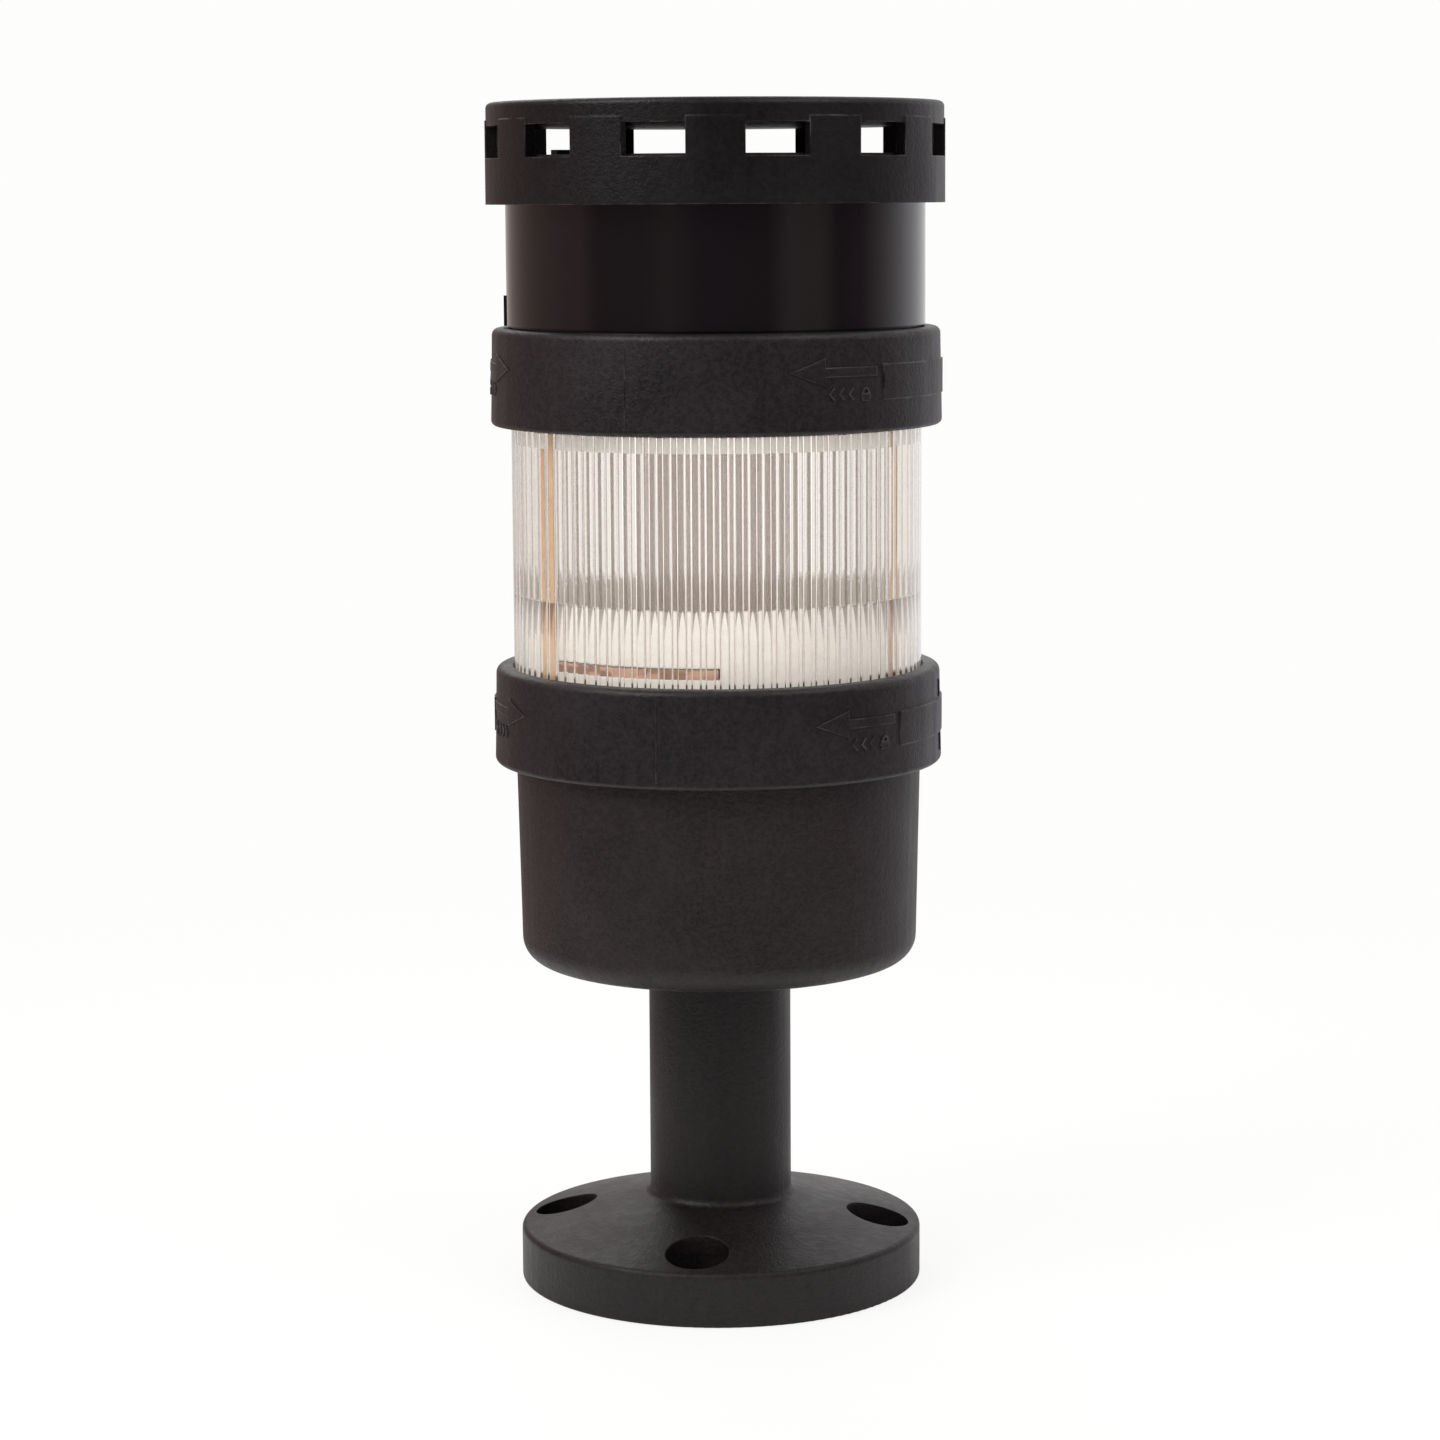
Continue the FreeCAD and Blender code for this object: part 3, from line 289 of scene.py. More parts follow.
def rib_shade_lines() -> Group:
    """Builds the masks for painted shade on upright ribs: the lines of their flanks, and the dark V between
    their tips.

    Returns:
        The group.
    """
    group = Group("rib_shade_lines", {"Count": 92.0, "Shift": -0.14, "Flat": 0.28, "Line": 0.1, "Low": 0.0,
                                "High": 0.0}, ("Mask", "TipShade"))
    g, s = group.graph, group.source
    parts = g.add("SeparateXYZ", {0: s["Vector"]}).outputs
    turn = g.math("DIVIDE", g.math("ARCTAN2", parts[1], parts[0]), math.tau)
    phase = g.math("FRACT", g.math("ADD", g.math("MULTIPLY", turn, s["Count"]), s["Shift"]))
    from_rib = g.math("ABSOLUTE", g.math("SUBTRACT", phase, 0.5))
    inward = g.math("SUBTRACT", 1.0, g.math("MULTIPLY", from_rib, 2.0))
    past = g.math("SUBTRACT", inward, s["Flat"])
    line = g.add("MapRange", {0: g.math("ABSOLUTE", past), 1: s["Line"], 2: 0.0, 3: 0.0, 4: 1.0})
    group.give("Mask", line.outputs[0])
    rise = g.add("MapRange", {0: parts[2], 1: s["Low"], 2: s["High"], 3: 0.0, 4: 1.0}).outputs[0]
    curved = g.math("MULTIPLY", g.math("POWER", rise, 6.0), 0.2)
    wide = g.math("ADD", g.math("MULTIPLY", rise, 0.5), curved)
    between = g.math("MULTIPLY", g.math("GREATER_THAN", past, 0.0), g.math("GREATER_THAN", wide, past))
    deep = g.math("MULTIPLY", between, g.span(rise, 0.0, 1.0, 0.45, 1.0))
    group.give("TipShade", g.math("MULTIPLY", deep, g.math("LESS_THAN", parts[2], s["High"])))
    return group


# The groups that the finishes share, each built once.
GRAIN, EDGE_HIGHLIGHT_AND_WEAR, DUST, MARKS = moulded_grain(), edge_wear_and_highlight(), settled_dust(), draw_marks()
TURNED, RIB_SHADE = turned_lines(), rib_shade_lines()


# ---------------- finishes
PLASTIC_IOR = 1.49         # how strongly clear plastic bends light
DUST_COLOUR = (0.42, 0.40, 0.38)
MOTTLE_SHARE = 0.35        # share of the slow mottle in a moulding's colour
EDGE_POLISH = 0.2          # how much less rough a fully rubbed edge is


def new_material(name: str) -> tuple[bpy.types.Material, Graph, bpy.types.Node, Socket]:
    """Makes an empty material with one Principled shader.

    Args:
        name: Name of the material.

    Returns:
        The material, its graph, its shader and the object coordinates.
    """
    material = bpy.data.materials.new(name)
    material.use_nodes = True
    material.node_tree.nodes.clear()
    graph = Graph(material.node_tree)
    shader = graph.add("BsdfPrincipled")
    graph.add("OutputMaterial", {"Surface": shader.outputs[0]})
    return material, graph, shader, graph.add("TexCoord").outputs["Object"]


def shade(colour: Colour, factor: float) -> Colour:
    """Makes a colour lighter or darker by a factor."""
    return tuple(channel * factor for channel in colour)


def show(graph: Graph, shader: Socket) -> None:
    """Makes a shader the one that the material's surface shows."""
    out = next(node for node in graph.tree.nodes if node.type == "OUTPUT_MATERIAL")
    graph.fill(out, {"Surface": shader})


@dataclass(frozen=True)
class Moulded:
    """An opaque moulded plastic: grain, mottle, draw marks, edges lightened partly by rubbing and partly by
    a painted highlight, and settled dust.

    Attributes:
        name: Name of the material.
        colour: Colour of the plastic.
        rubbed_and_highlight: Colour of its edges, partly real rubbing and partly a painted highlight.
        roughness: Roughness of the clean surface.
        grain: Grains per metre.
        depth: Height of the grain in metres.
        wear_and_highlight: Share of that edge colour on the edges, for rubbing and the painted highlight.
        dust: Share of dust on faces turned up.
        marks: Strength of the upright streaks.
        specular: Strength of the mirrored light.
        speckle: Share by which the grains are lighter or darker than the colour.
    """

    name: str
    colour: Colour
    rubbed_and_highlight: Colour
    roughness: float = 0.5
    grain: float = 2600.0
    depth: float = 0.00002
    wear_and_highlight: float = 0.5
    dust: float = 0.15
    marks: float = 0.1
    specular: float = 0.5
    speckle: float = 0.04

    def build(self) -> bpy.types.Material:
        """Builds the material.

        Returns:
            The material.
        """
        material, g, shader, place = new_material(self.name)
        grain = GRAIN.place(g, place, Scale=self.grain, Mottle=self.grain / 40)
        wear_and_highlight = EDGE_HIGHLIGHT_AND_WEAR.place(g, place)
        dust = DUST.place(g, place)
        marks = MARKS.place(g, place)
        fine = g.span(grain.outputs["Height"], 0.5, 0.95)
        low, high = shade(self.colour, 1.0 - self.speckle), shade(self.colour, 1.0 + self.speckle)
        mottle = grain.outputs["Mask"]
        slow = g.mix(mottle, shade(low, 0.78), shade(high, 0.9))
        body = g.mix(MOTTLE_SHARE, g.mix(fine, low, high), slow)
        # Edges take the pale edge colour: part rubbing, part a painted highlight standing in for glints on
        # small rounded edges.
        worn_and_highlit = g.mix(g.math("MULTIPLY", wear_and_highlight.outputs["Mask"], self.wear_and_highlight), body, self.rubbed_and_highlight)
        dusty = g.mix(g.math("MULTIPLY", dust.outputs["Mask"], self.dust), worn_and_highlit, DUST_COLOUR)
        rough = g.math("ADD", self.roughness, g.math("MULTIPLY", mottle, 0.07))
        streaked = g.math("SUBTRACT", rough, g.math("MULTIPLY", marks.outputs["Mask"], self.marks * 0.5))
        polish = g.math("MULTIPLY", wear_and_highlight.outputs["Mask"], EDGE_POLISH)
        streaks = g.math("MULTIPLY", marks.outputs["Height"], self.marks)
        height = g.math("ADD", grain.outputs["Height"], streaks)
        bump = g.add("Bump", {"Height": height, "Distance": self.depth, "Strength": 1.0,
                              "Normal": wear_and_highlight.outputs["Normal"]})
        g.fill(shader, {"Base Color": dusty, "Normal": bump.outputs[0], "Specular IOR Level": self.specular,
                        "Roughness": g.math("SUBTRACT", streaked, polish, clamp=True)})
        return material


@dataclass(frozen=True)
class Clear:
    """A clear ribbed moulding that lets the light in to what is behind it, with painted shade along its rib
    flanks and between its rib tips.

    Attributes:
        name: Name of the material.
        colour: Tint of the plastic.
        line: Tint along the flanks of its inner ribs, a painted shade.
        gap: Tint between the pointed lower ends of the ribs, a painted shade.
        wall: Radius that parts the ribs from the smooth outer face, in metres.
        tips: Height of the tips of the ribs' lower ends.
        tip_length: Height of one such end.
        roughness: Roughness of its surface.
        ripple: Height of the slow waves of the moulding, in metres.
    """

    name: str
    colour: Colour = (0.985, 0.97, 0.95)
    line: Colour = (0.86, 0.77, 0.70)
    gap: Colour = (0.20, 0.175, 0.16)
    wall: float = 0.0349
    tips: float = 0.1222
    tip_length: float = 0.0068
    roughness: float = 0.055
    ripple: float = 0.00002

    def build(self) -> bpy.types.Material:
        """Builds the material.

        Returns:
            The material.
        """
        material, g, shader, place = new_material(self.name)
        marks = MARKS.place(g, place, Scale=260.0, Stretch=0.06)
        ribs = RIB_SHADE.place(g, place, Low=self.tips - self.tip_length, High=self.tips)
        level = g.add("VectorMath", {0: place, 1: (1.0, 1.0, 0.0)}, operation="MULTIPLY").outputs[0]
        radius = g.add("VectorMath", {0: level}, operation="LENGTH").outputs["Value"]
        inside = g.math("LESS_THAN", radius, self.wall)
        plain = g.mix(marks.outputs["Mask"], self.colour, shade(self.colour, 0.985))
        # Painted shade: a darker tint along the rib flanks and a dark V between the rib tips, standing in
        # for the shade seen through the ribs.
        flank_shaded = g.mix(g.math("MULTIPLY", ribs.outputs["Mask"], inside), plain, self.line)
        tip_shade = g.math("MULTIPLY", ribs.outputs["TipShade"], inside)
        rough = g.math("ADD", self.roughness, g.math("MULTIPLY", marks.outputs["Mask"], 0.03))
        bump = g.add("Bump", {"Height": marks.outputs["Height"], "Distance": self.ripple, "Strength": 1.0})
        g.fill(shader, {"Base Color": g.mix(tip_shade, flank_shaded, self.gap), "Roughness": rough, "IOR": PLASTIC_IOR,
                        "Transmission Weight": 1.0, "Normal": bump.outputs[0]})
        let_light_in(g, shader, shade(self.colour, 0.99))
        return material


def let_light_in(graph: Graph, shader: bpy.types.Node, colour: Colour) -> None:
    """Lets light pass straight through a clear surface, so that it lights what is behind.

    Args:
        graph: The material's graph.
        shader: The shader of the surface.
        colour: Tint of the light that passes.
    """
    passing = graph.add("BsdfTransparent", {0: colour})
    path = graph.add("LightPath").outputs
    unseen = graph.math("MAXIMUM", path["Is Shadow Ray"], path["Is Diffuse Ray"])
    blend = graph.add("MixShader", {0: unseen, 1: shader.outputs[0], 2: passing.outputs[0]})
    show(graph, blend.outputs[0])


@dataclass(frozen=True)
class Frosted:
    """A lightly frosted tube with fine upright stripes of painted shade, which light passes.

    Attributes:
        name: Name of the material.
        colour: Colour of the plastic.
        stripe_shade: Colour of its stripes, a painted shade.
        passing: Tint of the light that passes straight through to what is behind it.
        stripes: Number of stripes round it.
        through: Share of light that passes.
        roughness: Roughness of its surface.
        depth: Height of its grain, in metres.
    """

    name: str
    colour: Colour = (0.77, 0.74, 0.72)
    stripe_shade: Colour = (0.59, 0.54, 0.52)
    passing: Colour = (0.96, 0.95, 0.94)
    stripes: float = 60.0
    through: float = 0.85
    roughness: float = 0.16
    depth: float = 0.00001

    def build(self) -> bpy.types.Material:
        """Builds the material.

        Returns:
            The material.
        """
        material, g, shader, place = new_material(self.name)
        grain = GRAIN.place(g, place, Scale=1800.0, Mottle=120.0)
        mottle = grain.outputs["Mask"]
        ribs = RIB_SHADE.place(g, place, Count=self.stripes, Flat=0.5, Line=0.5)
        tint = g.mix(mottle, shade(self.colour, 0.96), self.colour)
        # The darker stripes are painted shade, standing in for the lines that the ribs of a prismatic
        # sleeve would show.
        stripe_shaded = g.mix(ribs.outputs["Mask"], tint, self.stripe_shade)
        rough = g.math("ADD", self.roughness, g.math("MULTIPLY", mottle, 0.1))
        bump = g.add("Bump", {"Height": grain.outputs["Height"], "Distance": self.depth, "Strength": 0.6})
        g.fill(shader, {"Base Color": stripe_shaded, "Roughness": rough, "IOR": PLASTIC_IOR,
                        "Transmission Weight": self.through, "Normal": bump.outputs[0]})
        let_light_in(g, shader, self.passing)
        return material


@dataclass(frozen=True)
class Metal:
    """A plated or pressed metal with fine turned lines and dulled patches.

    Attributes:
        name: Name of the material.
        colour: Colour of the clean metal.
        dull: Colour of its dulled patches.
        roughness: Roughness of the clean metal.
        dulling: How much rougher its dulled patches are.
        depth: Height of its lines and grain, in metres.
    """

    name: str
    colour: Colour
    dull: Colour
    roughness: float = 0.28
    dulling: float = 0.18
    depth: float = 0.000012

    def build(self) -> bpy.types.Material:
        """Builds the material.

        Returns:
            The material.
        """
        material, g, shader, place = new_material(self.name)
        turned = TURNED.place(g, place)
        grain = GRAIN.place(g, place, Scale=3000.0, Mottle=180.0)
        mottle = grain.outputs["Mask"]
        tint = g.mix(mottle, self.dull, self.colour)
        clean = g.math("MULTIPLY", mottle, self.dulling)
        rough = g.math("SUBTRACT", self.roughness + self.dulling, clean)
        height = g.math("ADD", turned.outputs["Height"], grain.outputs["Height"])
        bump = g.add("Bump", {"Height": height, "Distance": self.depth, "Strength": 0.5})
        g.fill(shader, {"Base Color": tint, "Roughness": rough, "Metallic": 1.0, "Normal": bump.outputs[0]})
        return material


@dataclass(frozen=True)
class Board:
    """A circuit board: resin under solder mask, with tracks showing through it.

    Attributes:
        name: Name of the material.
        mask: Colour of the solder mask or the bare resin.
        track: Colour over a track.
        edge: Colour of the cut edge, where the resin shows.
        pitch: Tracks per metre.
        depth: Height of the tracks under the mask, in metres.
    """

    name: str
    mask: Colour
    track: Colour
    edge: Colour = (0.27, 0.15, 0.10)
    pitch: float = 220.0
    depth: float = 0.00003

    def build(self) -> bpy.types.Material:
        """Builds the material.

        Returns:
            The material.
        """
        material, g, shader, place = new_material(self.name)
        grain = GRAIN.place(g, place, Scale=3200.0, Mottle=300.0)
        mottle = grain.outputs["Mask"]
        bricks = g.add("TexBrick", {"Vector": place, "Scale": self.pitch, "Mortar Size": 0.06, "Bias": 0.0,
                                    "Color1": (0.0, 0.0, 0.0), "Color2": (0.0, 0.0, 0.0),
                                    "Mortar": (1.0, 1.0, 1.0)})
        tracks = g.math("MULTIPLY", bricks.outputs[1], g.span(mottle, 0.35, 0.6))
        weave = g.mix(mottle, shade(self.mask, 0.85), self.mask)
        face = g.mix(tracks, weave, self.track)
        pale = tuple(c * 1.8 + 0.05 for c in self.edge)
        resin = g.mix(g.span(mottle, 0.3, 0.7), self.edge, pale)
        upright = g.add("SeparateXYZ", {0: g.add("NewGeometry").outputs["Normal"]}).outputs[2]
        cut = g.math("LESS_THAN", g.math("ABSOLUTE", upright), 0.5)
        rough = g.math("ADD", 0.42, g.math("MULTIPLY", mottle, 0.16))
        height = g.math("ADD", tracks, g.math("MULTIPLY", grain.outputs["Height"], 0.15))
        bump = g.add("Bump", {"Height": height, "Distance": self.depth, "Strength": 1.0})
        g.fill(shader, {"Base Color": g.mix(cut, face, resin), "Roughness": rough,
                        "Normal": bump.outputs[0]})
        return material


class Finish(Enum):
    """The finishes of the stack light."""

    # On SATIN_BLACK and CAP_BLACK the pale edge colour is mostly a painted highlight, standing in for
    # glints on the small rounded edges of the rings and the cap.
    SATIN_BLACK = Moulded(
        "satin_black_plastic", (0.0084, 0.0060, 0.0072), (0.12, 0.11, 0.11), roughness=0.46,
        grain=2600.0, depth=0.00009, wear_and_highlight=0.75, dust=0.02, specular=0.45, speckle=0.7)
    FINE_BLACK = Moulded(
        "fine_grained_black_plastic", (0.0098, 0.0058, 0.0059), (0.06, 0.055, 0.055), roughness=0.5,
        grain=3000.0, depth=0.00010, wear_and_highlight=0.4, dust=0.02, specular=0.44, speckle=0.7)
    FOOT_BLACK = Moulded(
        "foot_black_plastic", (0.0060, 0.0034, 0.0036), (0.06, 0.055, 0.055), roughness=0.47,
        grain=3000.0, depth=0.00009, wear_and_highlight=0.4, dust=0.015, specular=0.36, speckle=0.7)
    CAP_BLACK = Moulded(
        "cap_black_plastic", (0.0040, 0.0030, 0.0036), (0.12, 0.11, 0.11), roughness=0.44,
        grain=2400.0, depth=0.00008, wear_and_highlight=0.75, dust=0.01, specular=0.38, speckle=0.6)
    GLOSS_BLACK = Moulded(
        "gloss_black_plastic", (0.004, 0.0033, 0.0035), (0.02, 0.018, 0.018), roughness=0.07,
        grain=900.0, depth=0.0000015, wear_and_highlight=0.2, dust=0.02, marks=0.3)
    DEEP_BLACK = Moulded(
        "inner_black_plastic", (0.006, 0.0055, 0.0055), (0.02, 0.018, 0.017), roughness=0.6,
        grain=2200.0, depth=0.00002, wear_and_highlight=0.2, dust=0.02)
    RUBBER = Moulded(
        "sealing_rubber", (0.008, 0.008, 0.0085), (0.03, 0.03, 0.03), roughness=0.72,
        grain=1400.0, depth=0.00003, wear_and_highlight=0.2, dust=0.1)
    WHITE = Moulded(
        "white_plastic", (0.77, 0.75, 0.72), (0.82, 0.80, 0.77), roughness=0.4,
        grain=1600.0, depth=0.00001, wear_and_highlight=0.2, dust=0.03)
    CLEAR = Clear("clear_plastic")
    FROSTED = Frosted("frosted_plastic")
    STEEL = Metal("plated_steel", (0.62, 0.61, 0.60), (0.42, 0.41, 0.40))
    CONTACT = Metal("contact_metal", (0.90, 0.64, 0.42), (0.78, 0.52, 0.32), roughness=0.38)
    BRASS = Metal("sounding_brass", (0.80, 0.62, 0.30), (0.58, 0.42, 0.18), roughness=0.22)
    BOARD = Board("circuit_board", (0.31, 0.16, 0.10), (0.42, 0.25, 0.15))
    LAMP_BOARD = Board("lamp_board", (0.78, 0.76, 0.72), (0.68, 0.65, 0.60))
    CHIP = Moulded(
        "component_body", (0.014, 0.014, 0.015), (0.05, 0.05, 0.05), roughness=0.42,
        grain=3200.0, depth=0.00001, wear_and_highlight=0.3, dust=0.1)
    LAMP = Moulded(
        "lamp_chip", (0.88, 0.80, 0.50), (0.92, 0.9, 0.8), roughness=0.3,
        grain=3000.0, depth=0.000006, wear_and_highlight=0.2, dust=0.05)


MATERIALS: dict[Finish, bpy.types.Material] = {finish: finish.value.build() for finish in Finish}

DRESSED: dict[Finish, tuple[str, ...]] = {
    Finish.SATIN_BLACK: ("lower_locking_ring", "upper_locking_ring"),
    Finish.FINE_BLACK: ("terminal_housing",),
    Finish.FOOT_BLACK: ("mounting_foot",),
    Finish.CAP_BLACK: ("sounder_cap",),
    Finish.GLOSS_BLACK: ("sounder_body",),
    Finish.DEEP_BLACK: ("terminal_carrier", "terminal_blocks", "sounder_base", "sound_deck",
                        "sounder_horn"),
    Finish.RUBBER: ("foot_seal", "tube_seal", "lower_module_seal", "upper_module_seal"),
    Finish.WHITE: ("light_chassis", "light_cover"),
    Finish.CLEAR: ("lens",),
    Finish.FROSTED: ("diffuser_sleeve",),
    Finish.STEEL: ("tube_clamp_screws", "terminal_screws", "carrier_screws", "led_board_screws",
                   "sounder_base_screws", "sounder_board_screws", "deck_screws"),
    Finish.CONTACT: ("terminal_contacts", "contact_strips", "light_contacts", "sounder_contact_pins"),
    Finish.BRASS: ("piezo_disc",),
    Finish.BOARD: ("sounder_board",),
    Finish.LAMP_BOARD: ("led_board",),
    Finish.CHIP: ("led_resistors", "sounder_components"),
    Finish.LAMP: ("leds",),
}


def dress_nodes() -> None:
    """Gives every node of the frame its finish through its material slots."""
    for finish, nodes in DRESSED.items():
        for node in nodes:
            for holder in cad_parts[node].material_slots:
                holder.material = MATERIALS[finish]
            LOG.info("dressed %s in %s", node, finish.value.name)


# ---------------- meshes
def new_piece(name: str, mesh: bmesh.types.BMesh, finish: Finish, body: str,
              smooth_deg: float = 40.0) -> bpy.types.Object:
    """Turns a finished bmesh into a piece that rides on a body.

    Args:
        name: Name of the piece.
        mesh: Its mesh, in metres in the shared frame; it is freed.
        finish: The finish that it shows.
        body: The body that it rides on.
        smooth_deg: Edges sharper than this stay sharp.

    Returns:
        The new object.
    """
    bmesh.ops.remove_doubles(mesh, verts=mesh.verts, dist=1e-7)
    bmesh.ops.recalc_face_normals(mesh, faces=mesh.faces)
    for face in mesh.faces:
        face.smooth = True
    for edge in mesh.edges:
        edge.smooth = len(edge.link_faces) == 2 and edge.calc_face_angle(0.0) < math.radians(smooth_deg)
    data = bpy.data.meshes.new(name)
    mesh.to_mesh(data)
    mesh.free()
    data.materials.append(MATERIALS[finish])
    piece = bpy.data.objects.new(name, data)
    bpy.context.scene.collection.objects.link(piece)
    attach(piece, body)
    LOG.info("built %s: %d faces, on %s", name, len(data.polygons), body)
    return piece


@dataclass
class Relief:
    """Low raised shapes laid round an upright, slightly tapered wall.

    Attributes:
        radius: Radius of the wall, in metres, by height.
        proud: How far the shapes stand out.
        sunk: How far they reach into the wall.
        step: Longest straight run along the wall.
        chamfer: Width of the sloped rim at the top of each shape.
        rim: Level of that rim's lower edge, as a share of the shape's whole height.
        mesh: The mesh that the shapes are laid into.
    """

    radius: Callable[[float], float]
    proud: float = 0.22 * MM
    sunk: float = 0.12 * MM
    step: float = 0.8 * MM
    chamfer: float = 0.07 * MM
    rim: float = 0.6
    mesh: bmesh.types.BMesh = field(default_factory=bmesh.new)

    def add(self, outline: list[Point], centre_deg: float, height: float) -> None:
        """Lays one closed outline on the wall.

        Args:
            outline: Points along the wall and up it, in metres, from the shape's own centre.
            centre_deg: Direction of that centre round the upright axis.
            height: Height of that centre.
        """
        shape = bmesh.new()
        loop = [shape.verts.new((u, v, 0.0)) for u, v in outline]
        shape.faces.new(loop)
        low, high = min(u for u, _ in outline), max(u for u, _ in outline)
        count = max(1, math.ceil((high - low) / self.step))
        for index in range(1, count):
            cut = low + (high - low) * index / count
            geometry = shape.verts[:] + shape.edges[:] + shape.faces[:]
            bmesh.ops.bisect_plane(shape, geom=geometry, plane_co=(cut, 0, 0), plane_no=(1, 0, 0),
                                   dist=1e-8)
        bottom = shape.faces[:]
        top = bmesh.ops.extrude_face_region(shape, geom=bottom)["geom"]
        raised = [g for g in top if isinstance(g, bmesh.types.BMVert)]
        for vert in raised:
            vert.co.z = 1.0
        lid = [g for g in top if isinstance(g, bmesh.types.BMFace)]
        inset = bmesh.ops.inset_region(shape, faces=lid, thickness=self.chamfer, use_even_offset=True)
        sloped = {vert for face in inset["faces"] for vert in face.verts}
        inner = {vert for face in lid for vert in face.verts}
        for vert in sloped - inner:
            vert.co.z = self.rim
        start = math.radians(centre_deg)
        for vert in shape.verts:
            z = height + vert.co.y
            wall = self.radius(z)
            level = -self.sunk + vert.co.z * (self.sunk + self.proud)
            angle = start + vert.co.x / wall
            vert.co = ((wall + level) * math.cos(angle), (wall + level) * math.sin(angle), z)
        shape.verts.index_update()
        fresh = [self.mesh.verts.new(vert.co) for vert in shape.verts]
        for face in shape.faces:
            self.mesh.faces.new([fresh[vert.index] for vert in face.verts])
        shape.free()


def rounded_box(width: float, height: float, corner: float, steps: int = 4) -> list[Point]:
    """Outline of a rectangle with round corners.

    Args:
        width: Its width.
        height: Its height.
        corner: Radius of its corners.
        steps: Points round each corner.

    Returns:
        The outline, anticlockwise, about the centre.
    """
    outline = []
    for quarter, (sx, sy) in enumerate(((1, 1), (-1, 1), (-1, -1), (1, -1))):
        cx, cy = sx * (width / 2 - corner), sy * (height / 2 - corner)
        for index in range(steps + 1):
            angle = math.radians(90 * quarter + 90 * index / steps)
            outline.append((cx + corner * math.cos(angle), cy + corner * math.sin(angle)))
    return outline


def stroke(points: list[Point], width: float) -> list[Point]:
    """Outline of a line of one width through the points.

    Args:
        points: The points along the line.
        width: Width of the line.

    Returns:
        The closed outline.
    """
    left, right = [], []
    for index, (x, y) in enumerate(points):
        before, after = points[max(index - 1, 0)], points[min(index + 1, len(points) - 1)]
        dx, dy = after[0] - before[0], after[1] - before[1]
        length = math.hypot(dx, dy)
        nx, ny = -dy / length * width / 2, dx / length * width / 2
        left.append((x + nx, y + ny))
        right.append((x - nx, y - ny))
    return left + right[::-1]


def moved(outline: list[Point], du: float, dv: float, mirror: float = 1.0) -> list[Point]:
    """Shifts an outline, and mirrors it left to right where mirror is -1."""
    return [(mirror * u + du, v + dv) for u, v in outline]


class Turn(Enum):
    """The two ways a locking ring turns, seen from above."""

    CLOSE = -1
    OPEN = 1


